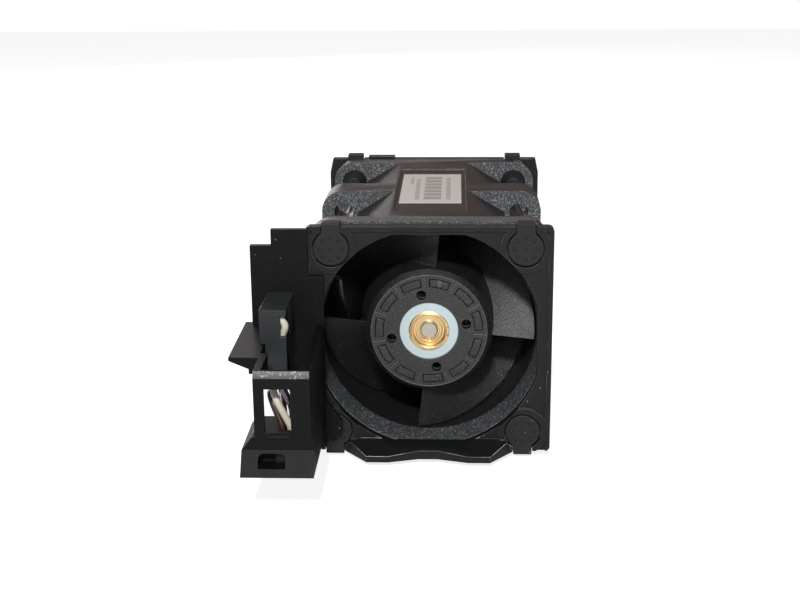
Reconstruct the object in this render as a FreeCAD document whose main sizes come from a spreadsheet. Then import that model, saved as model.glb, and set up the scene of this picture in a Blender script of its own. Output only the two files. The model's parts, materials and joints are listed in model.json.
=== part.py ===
import FreeCAD, Part
import Sketcher
import math
import os
import re

# Server fan module: a 40 mm square dual counter-rotating fan, held at both ends in
# plastic frames by rubber isolators, with a connector bracket beside the inlet.
# Frame: origin on the fan's axis in the front plane of the front frame, +X to the
# right seen from the inlet, +Y along the airflow into the module, +Z up. Millimetres.

Vector = FreeCAD.Vector
Rotation = FreeCAD.Rotation
Placement = FreeCAD.Placement

doc = FreeCAD.newDocument("ServerFanModule")

# ---------------------------------------------------------------- driving sizes
SIZES = {
    # fan housing
    "fan_half_width": (20.0, "half the side of the square fan"),
    "half_length": (28.0, "length of each half of the fan"),
    "hole_offset": (16.0, "corner hole from the axis, along X and Z"),
    "corner_hole_radius": (1.75, "corner holes of the middle flanges"),
    "isolator_hole_radius": (2.0, "corner holes of the end flanges, for the isolators"),
    "corner_round": (3.8, "rounding of the flange corners"),
    "flange_thickness": (3.6, "each corner flange"),
    "duct_radius": (18.5, "bore of the air duct"),
    "bell_width": (0.9, "widening of the bore at its open end"),
    "bell_depth": (5.0, "bell along the axis"),
    "duct_flat": (6.8, "half width of the flats on the duct"),
    "duct_knee": (13.4, "outer end of the sloping facets"),
    "duct_shoulder": (16.1, "height of the facets at that end"),
    "label_half_width": (5.5, "half width of the label"),
    "label_start": (15.3, "label, from the fan's front face"),
    "label_length": (25.6, "label along the airflow"),
    "label_depth": (0.3, "depth of the label's recess"),
    "label_margin": (0.8, "recess beyond the label, at its sides"),
    "recess_front": (6.8, "recess in front of the label"),
    "recess_rear": (4.8, "recess behind the label"),
    "label_thickness": (0.15, "paper label"),
    # motor support
    "base_radius": (11.6, "motor base disc"),
    "base_thickness": (4.4, "motor base disc along the axis"),
    "boss_radius": (5.6, "boss that holds the bearing tube"),
    "boss_height": (3.2, "boss above the base"),
    "strut_half_width": (0.8, "half width of a plain strut"),
    "cable_strut_half_width": (2.3, "half width of the strut under the leads"),
    "strut_depth": (5.4, "struts along the axis"),
    "cup_floor": (1.6, "motor base disc behind the bearing tube"),
    # rotor
    "tip_radius": (18.1, "blade tip"),
    "hub_face_depth": (3.0, "hub face behind the fan's open face"),
    "hub_face_radius": (10.0, "flat front face of the hub"),
    "hub_front_radius": (10.8, "cone of the hub, front end"),
    "hub_rear_radius": (12.2, "cone of the hub, rear end"),
    "hub_length": (17.4, "hub along the axis"),
    "hub_face_thickness": (1.2, "plastic over the steel cup"),
    "hub_window_radius": (5.05, "round window in the hub face"),
    "blade_lead": (1.8, "leading edges behind the hub face"),
    "blade_reach": (15.4, "blades along the axis"),
    "blade_thickness": (1.3, "blade along the axis, at mid chord"),
    "blade_sweep": (78.0, "angle from leading to trailing edge"),
    "pocket_inner": (7.75, "balance pockets, inner radius"),
    "pocket_outer": (9.35, "balance pockets, outer radius"),
    "pocket_depth": (0.4, "balance pockets"),
    "pocket_angle": (24.0, "angle covered by one pocket"),
    "face_hole_turn": (101.4, "angle of the first hole in the hub face"),
    "face_hole_circle": (6.53, "circle of the four holes in the hub face"),
    "face_hole_radius": (0.85, "holes in the hub face"),
    "yoke_radius": (9.6, "steel cup, outside"),
    "yoke_wall": (0.8, "steel cup, wall"),
    "yoke_length": (16.0, "steel cup along the axis"),
    "magnet_wall": (1.1, "ring magnet, wall"),
    "magnet_length": (12.5, "ring magnet along the axis"),
    "bush_radius": (3.5, "brass bush, outside"),
    "bush_length": (5.0, "brass bush along the axis"),
    "shaft_radius": (1.49, "shaft"),
    "shaft_length": (21.4, "shaft along the axis"),
    "running_gap": (0.02, "radial clearance of the shaft in its bearings"),
    "air_gap": (0.35, "magnet to stator"),
    # stator
    "bearing_radius": (3.5, "ball bearings, outside"),
    "bearing_width": (3.0, "ball bearings along the axis"),
    "tube_wall": (0.7, "bearing tube, wall"),
    "core_length": (6.4, "lamination stack along the axis"),
    "core_start": (9.2, "lamination stack, from the fan's open face"),
    "arm_half_width": (1.0, "stator arms"),
    "coil_thickness": (0.9, "windings round each arm"),
    "former_wall": (0.3, "insulating former"),
    "board_radius": (9.8, "circuit board"),
    "board_thickness": (1.0, "circuit board"),
    "board_start": (21.0, "circuit board, from the fan's open face"),
    # frames and isolators
    "frame_thickness": (2.0, "front and rear frames"),
    "isolator_web": (0.8, "rubber between frame and fan"),
    "front_right_over": (0.6, "front frame beyond the fan, right side"),
    "front_left_over": (0.3, "front frame beyond the fan, left side"),
    "front_top_under": (0.3, "front frame below the fan's top"),
    "front_bottom_under": (0.5, "front frame above the fan's underside"),
    "rear_side_over": (1.3, "rear frame beyond the fan, each side"),
    "rear_taper": (0.6, "slope of the rear frame's corners, along X"),
    "rear_taper_height": (2.8, "slope of the rear frame's corners, along Z"),
    "rear_step_left": (13.4, "raised step on the rear frame, left end"),
    "rear_step_right": (8.0, "raised step on the rear frame, right end"),
    "rear_step_rise": (0.5, "raised step on the rear frame"),
    "opening_radius": (19.25, "openings in the frames"),
    "opening_half": (18.25, "flats of the openings"),
    "rim_width": (0.75, "raised rim of the front frame"),
    "field_depth": (0.5, "field below the rim"),
    "collar_radius": (4.15, "raised collars round the isolators"),
    "seat_radius": (3.2, "seats of the isolators"),
    "seat_depth": (1.0, "seats of the isolators"),
    "slot_half_width": (1.65, "keyhole slots for the isolators, at the edge"),
    "keyhole_radius": (2.2, "round end of the keyhole slots"),
    "disc_gap": (0.3, "isolator disc to the wall of its seat"),
    "stem_gap": (0.1, "isolator stem to the wall of the corner hole"),
    "bulb_rise": (0.55, "isolator bulb beyond the corner hole, on the radius"),
    "bulb_length": (2.2, "isolator bulbs behind the flange"),
    "screw_relief": (2.7, "hollow in the duct beside each corner hole"),
    "front_neck_reach": (4.2, "front isolator necks, from their centre"),
    "rear_neck_reach": (4.9, "rear isolator necks, from their centre"),
    "lip_root_half": (14.4, "finger lip at the frame"),
    "lip_tip_half": (11.1, "finger lip at its front edge"),
    "lip_reach": (4.5, "finger lip in front of the frame"),
    "lip_scoop": (1.5, "hollow in the middle of the lip"),
    "lip_tip_top": (18.8, "top of the finger lip at its front edge, below the axis"),
    "lip_root_top": (17.5, "top of the finger lip at the frame, below the axis"),
    "lip_bottom": (19.9, "underside of the finger lip"),
    # connector bracket
    "plate_thickness": (1.2, "bracket plate"),
    "plate_left": (29.2, "bracket plate, left edge"),
    "plate_right": (17.3, "bracket plate, right edge below the collar"),
    "plate_top": (19.5, "bracket plate, top edge"),
    "notch_width": (3.5, "notch in the plate's top corner"),
    "notch_height": (2.7, "notch in the plate's top corner"),
    "plate_foot": (2.3, "bracket plate, lower edge left of the tower, below the axis"),
    "plate_skirt": (5.2, "bracket plate, lower edge behind the tower, below the axis"),
    "plate_overlap": (0.5, "bracket plate over the frame's left border"),
    "tower_left": (25.8, "tower, left side"),
    "tower_reach": (25.5, "tower in front of the frame"),
    "tower_top": (3.4, "tower, top edge"),
    "tower_wall": (1.15, "tower walls"),
    "window_left": (24.3, "tower window, left side"),
    "window_width": (4.1, "tower window"),
    "window_top": (0.7, "tower window, top edge"),
    "window_height": (6.9, "tower window"),
    "floor_top": (7.0, "tower floor below the axis"),
    "floor_thickness": (1.4, "tower floor"),
    "floor_rear": (16.5, "rear edge of the floor"),
    "foot_left": (27.9, "foot, left side"),
    "foot_right": (16.7, "foot, right side"),
    "foot_reach": (27.9, "foot in front of the frame, at its underside"),
    "foot_rear": (14.0, "rear face of the foot"),
    "foot_top": (9.1, "top of the foot's straight sides"),
    "foot_bottom": (12.6, "underside of the foot"),
    "foot_slot_left": (25.3, "slot in the foot, left side"),
    "foot_slot_width": (4.2, "slot in the foot"),
    "foot_slot_height": (2.0, "slot in the foot"),
    "foot_slot_round": (0.7, "rounding of the slot's upper corners"),
    "return_depth": (2.2, "left edge of the tower, turned back behind the window"),
    "boss_left": (24.0, "round boss below the window"),
    "boss_height_below": (6.75, "round boss, below the axis"),
    "small_boss_radius": (0.5, "round boss below the window"),
    "ridge_length": (3.4, "ridge beside the round boss"),
    "ridge_rise": (0.15, "ridge and boss in front of the tower"),
    "web_foot": (18.4, "lowest corner of the right-hand web"),
    "wing_left": (30.5, "wing, tip"),
    "wing_reach": (18.6, "wing in front of the frame"),
    "wing_tip": (0.6, "wing thickness at its tip"),
    "wing_root": (1.9, "wing thickness at the tower"),
    "ear_right": (14.6, "ear over the lower isolator"),
    "ear_top": (10.4, "ear, upper corner"),
    "ear_bottom": (17.2, "ear, lower edge"),
    "ear_thickness": (1.0, "ear"),
    # plug, leads and clip
    "plug_left": (22.9, "plug housing"),
    "plug_right": (18.4, "plug housing"),
    "plug_front": (24.2, "plug housing"),
    "plug_rear": (16.6, "plug housing"),
    "plug_top": (8.5, "plug housing, top below the axis"),
    "plug_bottom": (12.3, "plug housing, underside"),
    "contact_pitch": (1.4, "contacts of the plug, side by side"),
    "row_pitch": (2.7, "rows of contacts"),
    "contact_half_width": (0.3, "contacts of the plug"),
    "cavity_half_width": (0.5, "contact cavities"),
    "lead_radius": (0.55, "leads, over the insulation"),
    "lead_pitch": (1.4, "leads side by side"),
    "lead_height": (6.0, "middle of the leads above the axis"),
    "lead_space": (0.75, "fan to the inner layer of leads"),
    "lead_spread": (2.1, "drift of the leads away from the fan, at the bracket"),
    "spread_start": (3.0, "where the leads run parallel again, behind the frame's front"),
    "exit_bend": (1.2, "bend of the leads where they leave the fan"),
    "clip_left": (26.5, "cable cover, left side"),
    "clip_right": (22.2, "cable cover, right side"),
    "clip_reach": (12.0, "cable cover in front of the frame"),
    "clip_top": (9.0, "cable cover, top"),
    "clip_wall": (0.8, "cable cover, walls"),
    "clip_skirt": (0.3, "lower edge of the cover's front, below the axis"),
    "clip_side_wall": (0.6, "cable cover, right wall"),
    "clip_side_reach": (6.5, "right wall of the cover, in front of the frame"),
    "clip_notch_width": (1.0, "notch in the cover's front for the bowed lead"),
    "clip_notch_low": (4.6, "notch, lower edge"),
    "clip_notch_high": (8.0, "notch, upper edge"),
    "seat_gap": (0.1, "clearance of a piece that drops into a seat"),
}

BLADE_COUNTS = {"inlet": 4, "outlet": 5}
LEADING_ANGLE = {"inlet": 84.0, "outlet": 60.0}
STRUT_ANGLES = (20, 110, 290)
POCKET_COUNT = 11
FIRST_POCKET = 12.5
PUTTY_POCKET = 2
CHIPS = ((6.5, -2.2), (-3.0, -6.3), (3.2, 6.1))
HALVES = ("inlet", "outlet")
ARC_SHARE = 0.45
SLIGHT_BEND = 60.0
CORNERS = ((-1, -1), (1, -1), (1, 1), (-1, 1))

# Each lead's motor, place in its layer from the top, contact as (column, row), and the
# corners of its way from the cable cover to the plug as (x, y, z, largest bend radius).
LEADS = {
    "white": ("inlet", 0, (0, "front"), [
        (-23.4, -10.5, 7.4, 2.2), (-22.35, -10.9, 6.2, 2.0), (-23.35, -10.5, 3.6, 2.0),
        (-23.35, -10.5, -2.2, 2.2), (-23.55, -22.2, -0.6, 2.6), (-20.65, -22.0, -6.6, 2.0)]),
    "black": ("inlet", 1, (1, "front"), [
        (-23.4, -9.2, 6.0, 2.2), (-22.5, -9.1, -3.4, 2.2), (-19.3, -21.6, -3.3, 2.2)]),
    "grey": ("inlet", 2, (1, "rear"), [
        (-23.4, -7.8, 4.6, 1.6), (-22.5, -7.8, -4.7, 2.2), (-19.25, -19.05, -4.6, 1.8)]),
    "brown": ("outlet", 0, (-1, "front"), [
        (-24.75, -10.5, 7.4, 2.2), (-24.6, -10.5, -3.0, 2.2), (-24.0, -20.2, -2.2, 2.2),
        (-22.05, -21.5, -6.6, 2.0)]),
    "blue": ("outlet", 1, (0, "rear"), [
        (-24.75, -9.2, 6.0, 2.2), (-23.7, -9.1, -4.4, 2.2), (-20.65, -18.9, -4.9, 2.0)]),
    "red": ("outlet", 2, (-1, "rear"), [
        (-24.75, -7.8, 4.6, 1.6), (-23.8, -7.8, -5.8, 2.2), (-22.05, -18.9, -6.2, 1.6)]),
}

FAN_FRONT = "(frame_thickness + isolator_web)"
FAN_REAR = "(frame_thickness + isolator_web + 2 * half_length)"
SEAM = "(frame_thickness + isolator_web + half_length)"
REAR_PLATE = "(frame_thickness + 2 * isolator_web + 2 * half_length)"
FRAME_RIGHT = "(fan_half_width + front_right_over)"
FRAME_LEFT = "(fan_half_width + front_left_over)"
FRAME_TOP = "(fan_half_width - front_top_under)"
FRAME_BOTTOM = "(fan_half_width - front_bottom_under)"
NECK = "(slot_half_width - seat_gap)"
LEAD_INNER = "(fan_half_width + lead_space + lead_radius)"

sheet = doc.addObject("Spreadsheet::Sheet", "sizes")
for row, (alias, (value, note)) in enumerate(SIZES.items(), start=1):
    sheet.set(f"A{row}", note)
    sheet.set(f"B{row}", str(value))
    sheet.setAlias(f"B{row}", alias)
doc.recompute()

PARTS = {}


# ---------------------------------------------------------------- small helpers
def bound(text):
    """Point every size named in a formula at its cell on the sheet."""
    def cell(word):
        name = word.group()
        return f"sizes.{name}" if name in SIZES else name
    return re.sub(r"[a-z][a-z_]+", cell, str(text))


def value(text):
    """The number that a formula gives now."""
    return float(sheet.evalExpression(bound(text)))


def tie(item, setting, text):
    """Bind one setting of an object to a formula on the sheet."""
    item.setExpression(setting, bound(text))


def keep(node, item):
    """Name an object as one finished sub-part."""
    item.Label = node
    PARTS[node] = item
    return item


def box(name, x, y, z):
    """A block between two limits on each axis."""
    block = doc.addObject("Part::Box", name)
    for size, axis, (low, high) in (("Length", "x", x), ("Width", "y", y), ("Height", "z", z)):
        tie(block, size, f"({high}) - ({low})")
        tie(block, f"Placement.Base.{axis}", low)
    return block


def rod(name, radius, x, z, y, tip=None):
    """A cylinder along Y, or a cone when a second radius is given."""
    kind = "Part::Cone" if tip else "Part::Cylinder"
    bar = doc.addObject(kind, name)
    bar.Placement = Placement(Vector(0, 0, 0), Rotation(Vector(1, 0, 0), -90))
    if tip:
        tie(bar, "Radius1", radius)
        tie(bar, "Radius2", tip)
    else:
        tie(bar, "Radius", radius)
    tie(bar, "Height", f"({y[1]}) - ({y[0]})")
    tie(bar, "Placement.Base.x", x)
    tie(bar, "Placement.Base.y", y[0])
    tie(bar, "Placement.Base.z", z)
    return bar


def fuse(name, items):
    """One solid from several that touch or overlap."""
    joined = doc.addObject("Part::MultiFuse", name)
    joined.Shapes = items
    joined.Refine = True
    return joined


def group(name, items):
    """Separate solids kept in one sub-part."""
    several = doc.addObject("Part::Compound", name)
    several.Links = items
    return several


def cut(name, base, tools):
    """A solid less one or more others."""
    rest = doc.addObject("Part::Cut", name)
    rest.Base = base
    rest.Tool = tools[0] if len(tools) == 1 else fuse(f"{name}_tools", tools)
    rest.Refine = True
    return rest


def common(name, first, second):
    """What two solids share."""
    shared = doc.addObject("Part::Common", name)
    shared.Base = first
    shared.Tool = second
    return shared


def turned(name, item, angle):
    """An object turned about the fan's axis, anticlockwise seen from the inlet."""
    holder = group(name, [item])
    holder.Placement = Placement(Vector(0, 0, 0), Rotation(Vector(0, 1, 0), -angle))
    return holder


def new_sketch(body, plane, turn=0.0):
    """A sketch on one of the body's origin planes, turned about Y if asked."""
    sketch = body.newObject("Sketcher::SketchObject", f"{body.Name}_sketch")
    support = next(f for f in body.Origin.OriginFeatures if f.Role == plane)
    sketch.AttachmentSupport = [(support, "")]
    sketch.MapMode = "FlatFace"
    if turn:
        sketch.AttachmentOffset = Placement(Vector(0, 0, 0), Rotation(Vector(0, 1, 0), turn))
    return sketch


def place_corner(sketch, line, corner, number):
    """Hold the start of one line at a corner given by two formulas."""
    for kind, text, axis in (("DistanceX", corner[0], -2), ("DistanceY", corner[1], -1)):
        size = value(text)
        if abs(size) < 1e-9:
            sketch.addConstraint(Sketcher.Constraint("PointOnObject", line, 1, axis))
            continue
        ends = (-1, 1, line, 1) if size > 0 else (line, 1, -1, 1)
        index = sketch.addConstraint(Sketcher.Constraint(kind, *ends, abs(size)))
        label = f"{kind[-1].lower()}{number}"
        sketch.renameConstraint(index, label)
        sign = "" if size > 0 else "-"
        tie(sketch, f"Constraints.{label}", f"{sign}({text})")


def polygon(sketch, corners):
    """A closed outline of straight lines through corners given by formulas."""
    points = [Vector(value(x), value(y), 0) for x, y in corners]
    count = len(points)
    for number, start in enumerate(points):
        sketch.addGeometry(Part.LineSegment(start, points[(number + 1) % count]))
    for number in range(count):
        after = (number + 1) % count
        sketch.addConstraint(Sketcher.Constraint("Coincident", number, 2, after, 1))
    for number, corner in enumerate(corners):
        place_corner(sketch, number, corner, number)


def revolve_in(body, profile):
    """Turn an outline of (radius, station) corners about the Y axis."""
    sketch = new_sketch(body, "XY_Plane")
    polygon(sketch, profile)
    turned = body.newObject("PartDesign::Revolution", f"{body.Name}_turned")
    turned.Profile = sketch
    turned.ReferenceAxis = (sketch, ["V_Axis"])
    turned.Angle = 360
    return turned


def turned_body(name, profile):
    body = doc.addObject("PartDesign::Body", name)
    revolve_in(body, profile)
    return body


def slab(name, corners, y):
    """An outline of (x, z) corners, padded from one station to another."""
    body = doc.addObject("PartDesign::Body", name)
    sketch = new_sketch(body, "XZ_Plane")
    tie(sketch, "AttachmentOffset.Base.z", f"-({y[1]})")
    polygon(sketch, corners)
    pad = body.newObject("PartDesign::Pad", f"{name}_pad")
    pad.Profile = sketch
    tie(pad, "Length", f"({y[1]}) - ({y[0]})")
    return body


def profile_across(name, corners, x):
    """An outline of (y, z) corners, padded from one X to another."""
    body = doc.addObject("PartDesign::Body", name)
    sketch = new_sketch(body, "YZ_Plane")
    tie(sketch, "AttachmentOffset.Base.z", x[0])
    polygon(sketch, corners)
    pad = body.newObject("PartDesign::Pad", f"{name}_pad")
    pad.Profile = sketch
    tie(pad, "Length", f"({x[1]}) - ({x[0]})")
    return body


def layer(name, corners, z):
    """An outline of (x, y) corners, padded from one height to another."""
    body = doc.addObject("PartDesign::Body", name)
    sketch = new_sketch(body, "XY_Plane")
    tie(sketch, "AttachmentOffset.Base.z", z[0])
    polygon(sketch, corners)
    pad = body.newObject("PartDesign::Pad", f"{name}_pad")
    pad.Profile = sketch
    tie(pad, "Length", f"({z[1]}) - ({z[0]})")
    return body


def rounded(body, radius, picked):
    """Fillet the body's edges whose middle point passes a test."""
    doc.recompute()
    base = body.Tip
    names = []
    for number, edge in enumerate(base.Shape.Edges, start=1):
        middle = edge.valueAt((edge.FirstParameter + edge.LastParameter) / 2)
        if picked(edge, middle):
            names.append(f"Edge{number}")
    fillet = body.newObject("PartDesign::Fillet", f"{body.Name}_fillet")
    fillet.Base = (base, names)
    tie(fillet, "Radius", radius)
    return fillet


def runs_along(edge, axis):
    """True for a straight edge along one axis."""
    ends = edge.valueAt(edge.LastParameter) - edge.valueAt(edge.FirstParameter)
    return edge.Curve.TypeId == "Part::GeomLine" and ends.normalize().isEqual(axis, 1e-6) \
        or edge.Curve.TypeId == "Part::GeomLine" and (ends * -1).normalize().isEqual(axis, 1e-6)


def along(half, depth):
    """Station of a depth behind the open face of one half of the fan."""
    return f"{FAN_FRONT} + ({depth})" if half == "inlet" else f"{FAN_REAR} - ({depth})"


def span(half, near, far):
    """Two depths behind the open face as a low and a high station."""
    ends = (along(half, near), along(half, far))
    return ends if half == "inlet" else ends[::-1]


def profile_of(half, corners):
    """An outline of (radius, depth) corners in one half of the fan."""
    return [(radius, along(half, depth)) for radius, depth in corners]


def ring(name, half, inner, outer, near, far):
    """A plain ring between two depths."""
    return turned_body(name, profile_of(half, [
        (inner, near), (outer, near), (outer, far), (inner, far)]))


# ---------------------------------------------------------------- fan housings
def square_flange(name, y):
    """One square corner flange with rounded corners."""
    side = "fan_half_width"
    body = slab(name, [(f"-{side}", f"-{side}"), (side, f"-{side}"),
                       (side, side), (f"-{side}", side)], y)
    rounded(body, "corner_round", lambda edge, middle: runs_along(edge, Vector(0, 1, 0)))
    return body


def duct_outline():
    """Twelve-sided outside of the duct: a flat on each side and facets to the corners."""
    flat, knee, shoulder, side = "duct_flat", "duct_knee", "duct_shoulder", "fan_half_width"
    quarter = [(flat, side), (knee, shoulder), (shoulder, knee), (side, flat)]
    outline = []
    for turn in range(4):
        for across, up in quarter:
            outline.append({
                0: (across, up),
                1: (up, f"-{across}"),
                2: (f"-{across}", f"-{up}"),
                3: (f"-{up}", across),
            }[turn])
    kept = []
    for corner in outline:
        if corner not in kept:
            kept.append(corner)
    return kept


def motor_base(half):
    """Disc that carries the motor, its boss, and the struts to the duct wall."""
    name = f"{half}_base"
    near_disc = "half_length - base_thickness"
    disc = turned_body(f"{name}_disc", profile_of(half, [
        ("bearing_radius + tube_wall", f"{near_disc} - boss_height"),
        ("boss_radius", f"{near_disc} - boss_height"),
        ("boss_radius", near_disc),
        ("base_radius", near_disc),
        ("base_radius", "half_length"),
        (0, "half_length"),
        (0, "half_length - cup_floor"),
        ("bearing_radius + tube_wall", "half_length - cup_floor"),
    ]))
    y = span(half, "half_length - strut_depth", "half_length")
    struts = []
    for angle in STRUT_ANGLES:
        strut = box(f"{name}_strut{angle}", ("base_radius - 1", "duct_radius + 0.6"), y,
                    ("-strut_half_width", "strut_half_width"))
        struts.append(turned(f"{name}_turned_strut{angle}", strut, angle))
    cable = box(f"{name}_cable_strut", ("-duct_radius - 0.3", "-base_radius + 2.6"), y,
                ("lead_height - cable_strut_half_width", "lead_height + cable_strut_half_width"))
    return [disc, *struts, cable]


def fan_housing(half):
    """Half of the fan's housing: two flanges, the duct, and the motor base on its struts."""
    name = f"{half}_fan_housing"
    whole = span(half, "0", "half_length")
    duct = slab(f"{name}_duct", duct_outline(), whole)
    flanges = [
        square_flange(f"{name}_outer_flange", span(half, "0", "flange_thickness")),
        square_flange(f"{name}_inner_flange",
                      span(half, "half_length - flange_thickness", "half_length")),
    ]
    bore = rod(f"{name}_bore", "duct_radius", 0, 0, whole)
    lip = span(half, "0", "bell_depth")
    radii = ("duct_radius + bell_width", "duct_radius")
    wide, narrow = radii if half == "inlet" else radii[::-1]
    bell = rod(f"{name}_bell", wide, 0, 0, lip, tip=narrow)
    ends = (("isolator_hole_radius", span(half, "0", "flange_thickness")),
            ("corner_hole_radius", span(half, "half_length - flange_thickness", "half_length")))
    holes = [rod(f"{name}_hole{number}", radius, f"{sx} * hole_offset", f"{sz} * hole_offset", y)
             for radius, y in ends for number, (sx, sz) in enumerate(CORNERS)]
    between = span(half, "flange_thickness", "half_length - flange_thickness")
    reliefs = [rod(f"{name}_relief{number}", "screw_relief",
                   f"{sx} * hole_offset", f"{sz} * hole_offset", between)
               for number, (sx, sz) in enumerate(CORNERS)]
    duct = cut(f"{name}_relieved", duct, reliefs)
    label_y = (f"{FAN_FRONT} + label_start - recess_front",
               f"{FAN_FRONT} + label_start + label_length + recess_rear")
    recess = box(f"{name}_label_recess",
                 ("-label_half_width - label_margin", "label_half_width + label_margin"),
                 label_y, ("fan_half_width - label_depth", "fan_half_width + 1"))
    exit_y = span(half, "half_length - strut_depth - 1.5", "half_length - strut_depth")
    beside = "lead_pitch + lead_radius + seat_gap"
    cable_exit = box(f"{name}_cable_exit", ("-fan_half_width - 1", "-duct_radius + 4"), exit_y,
                     (f"lead_height - ({beside})", f"lead_height + {beside}"))
    shell = fuse(f"{name}_shell", [duct, *flanges])
    hollow = cut(f"{name}_hollow", shell, [bore, bell, *holes, recess, cable_exit])
    return keep(name, fuse(f"{name}_whole", [hollow, *motor_base(half)]))


# ---------------------------------------------------------------- rotors
def blade_sections(half, body):
    """Radial cross-sections of one blade, from its leading to its trailing edge."""
    steps = 5
    sections = []
    for step in range(steps + 1):
        part_way = step / steps
        thick = 0.45 + 0.55 * math.sin(math.pi * part_way)
        near = f"hub_face_depth + blade_lead + (blade_reach - blade_thickness) * {part_way ** 1.12:.4f}"
        far = f"{near} + blade_thickness * {thick:.4f}"
        angle = LEADING_ANGLE[half] + value("blade_sweep") * part_way
        sketch = new_sketch(body, "XY_Plane", -angle)
        root, tip = "hub_front_radius - 0.5", "tip_radius"
        polygon(sketch, profile_of(half, [(root, near), (tip, near), (tip, far), (root, far)]))
        sections.append(sketch)
    return sections


def impeller(half):
    """Moulded hub over the steel cup, with its blades swept round it."""
    name = f"{half}_impeller"
    body = doc.addObject("PartDesign::Body", name)
    face, end = "hub_face_depth", "hub_face_depth + hub_length"
    inner = "yoke_radius + 0.02"
    revolve_in(body, profile_of(half, [
        ("hub_window_radius", face),
        ("hub_face_radius", face),
        ("hub_front_radius", f"{face} + 0.9"),
        ("hub_rear_radius", f"{face} + hub_length * 0.6"),
        ("hub_rear_radius", end),
        (inner, end),
        (inner, f"{face} + hub_face_thickness"),
        ("hub_window_radius", f"{face} + hub_face_thickness"),
    ]))
    sections = blade_sections(half, body)
    blade = body.newObject("PartDesign::AdditiveLoft", f"{name}_blade")
    blade.Profile = sections[0]
    blade.Sections = sections[1:]
    blade.Ruled = False
    blades = body.newObject("PartDesign::PolarPattern", f"{name}_blades")
    blades.Originals = [blade]
    blades.Axis = (sections[0], ["V_Axis"])
    blades.Angle = 360
    blades.Occurrences = BLADE_COUNTS[half]
    body.Tip = blades
    pockets = [sector(f"{name}_pocket{number}", half, pocket_middle(number))
               for number in range(POCKET_COUNT)]
    holes = face_holes(name, half, f"{face} - 0.1", f"{face} + hub_face_thickness + 0.1")
    return keep(name, cut(f"{name}_whole", body, pockets + holes))


def face_holes(name, half, near, far):
    """Tools for the four holes through the hub face and the steel cup behind it."""
    holes = []
    for number in range(4):
        angle = math.radians(value("face_hole_turn") + 90 * number)
        holes.append(rod(f"{name}_face_hole{number}", "face_hole_radius",
                         f"face_hole_circle * {math.cos(angle):.5f}",
                         f"face_hole_circle * {math.sin(angle):.5f}", span(half, near, far)))
    return holes


def pocket_middle(number):
    """Angle of the middle of one balance pocket."""
    return FIRST_POCKET + 360.0 * number / POCKET_COUNT


def sector(name, half, middle):
    """Tool for one balance pocket: a piece of ring in the hub face."""
    y = span(half, "hub_face_depth - 0.1", "hub_face_depth + pocket_depth")
    outer = rod(f"{name}_outer", "pocket_outer", 0, 0, y)
    tie(outer, "Angle", "pocket_angle")
    inner = rod(f"{name}_inner", "pocket_inner", 0, 0, y)
    piece = cut(name, outer, [inner])
    turn = -middle - value("pocket_angle") / 2
    piece.Placement = Placement(Vector(0, 0, 0), Rotation(Vector(0, 1, 0), turn))
    return piece


def rotor_parts(half):
    """Steel cup, magnet, brass bush, shaft and the clip on the shaft's end."""
    cup, wall = "hub_face_depth + hub_face_thickness", "yoke_wall"
    window = "hub_window_radius - 0.05"
    drawn = turned_body(f"{half}_yoke_body", profile_of(half, [
        ("bush_radius", "hub_face_depth + 0.25"),
        (window, "hub_face_depth + 0.25"),
        (window, cup),
        ("yoke_radius", cup),
        ("yoke_radius", f"{cup} + yoke_length"),
        (f"yoke_radius - {wall}", f"{cup} + yoke_length"),
        (f"yoke_radius - {wall}", f"{cup} + {wall}"),
        ("bush_radius", f"{cup} + {wall}"),
    ]))
    holes = face_holes(f"{half}_yoke", half, f"{cup} - 0.1", f"{cup} + {wall} + 0.1")
    keep(f"{half}_rotor_yoke", cut(f"{half}_yoke_whole", drawn, holes))
    start = f"{cup} + yoke_length - magnet_length - 0.6"
    keep(f"{half}_rotor_magnet", ring(f"{half}_magnet_body", half,
         "yoke_radius - yoke_wall - magnet_wall", "yoke_radius - yoke_wall",
         start, f"{start} + magnet_length"))
    keep(f"{half}_rotor_bush", turned_body(f"{half}_bush_body", profile_of(half, [
        ("shaft_radius", "hub_face_depth + 1.1"),
        ("bush_radius * 0.57", "hub_face_depth + 1.1"),
        ("bush_radius * 0.57", "hub_face_depth + 0.7"),
        ("bush_radius * 0.74", "hub_face_depth + 0.7"),
        ("bush_radius * 0.80", "hub_face_depth"),
        ("bush_radius", "hub_face_depth + 0.1"),
        ("bush_radius", "hub_face_depth + bush_length"),
        ("shaft_radius", "hub_face_depth + bush_length"),
    ])))
    nose = "hub_face_depth + 0.5"
    keep(f"{half}_shaft", turned_body(f"{half}_shaft_body", profile_of(half, [
        (0, nose),
        ("shaft_radius - 0.2", nose),
        ("shaft_radius", f"{nose} + 0.2"),
        ("shaft_radius", f"{nose} + shaft_length"),
        (0, f"{nose} + shaft_length"),
    ])))
    clip = f"{nose} + shaft_length - 0.9"
    keep(f"{half}_shaft_clip", ring(f"{half}_clip_body", half,
         "shaft_radius", "shaft_radius + 0.75", clip, f"{clip} + 0.4"))


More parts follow.
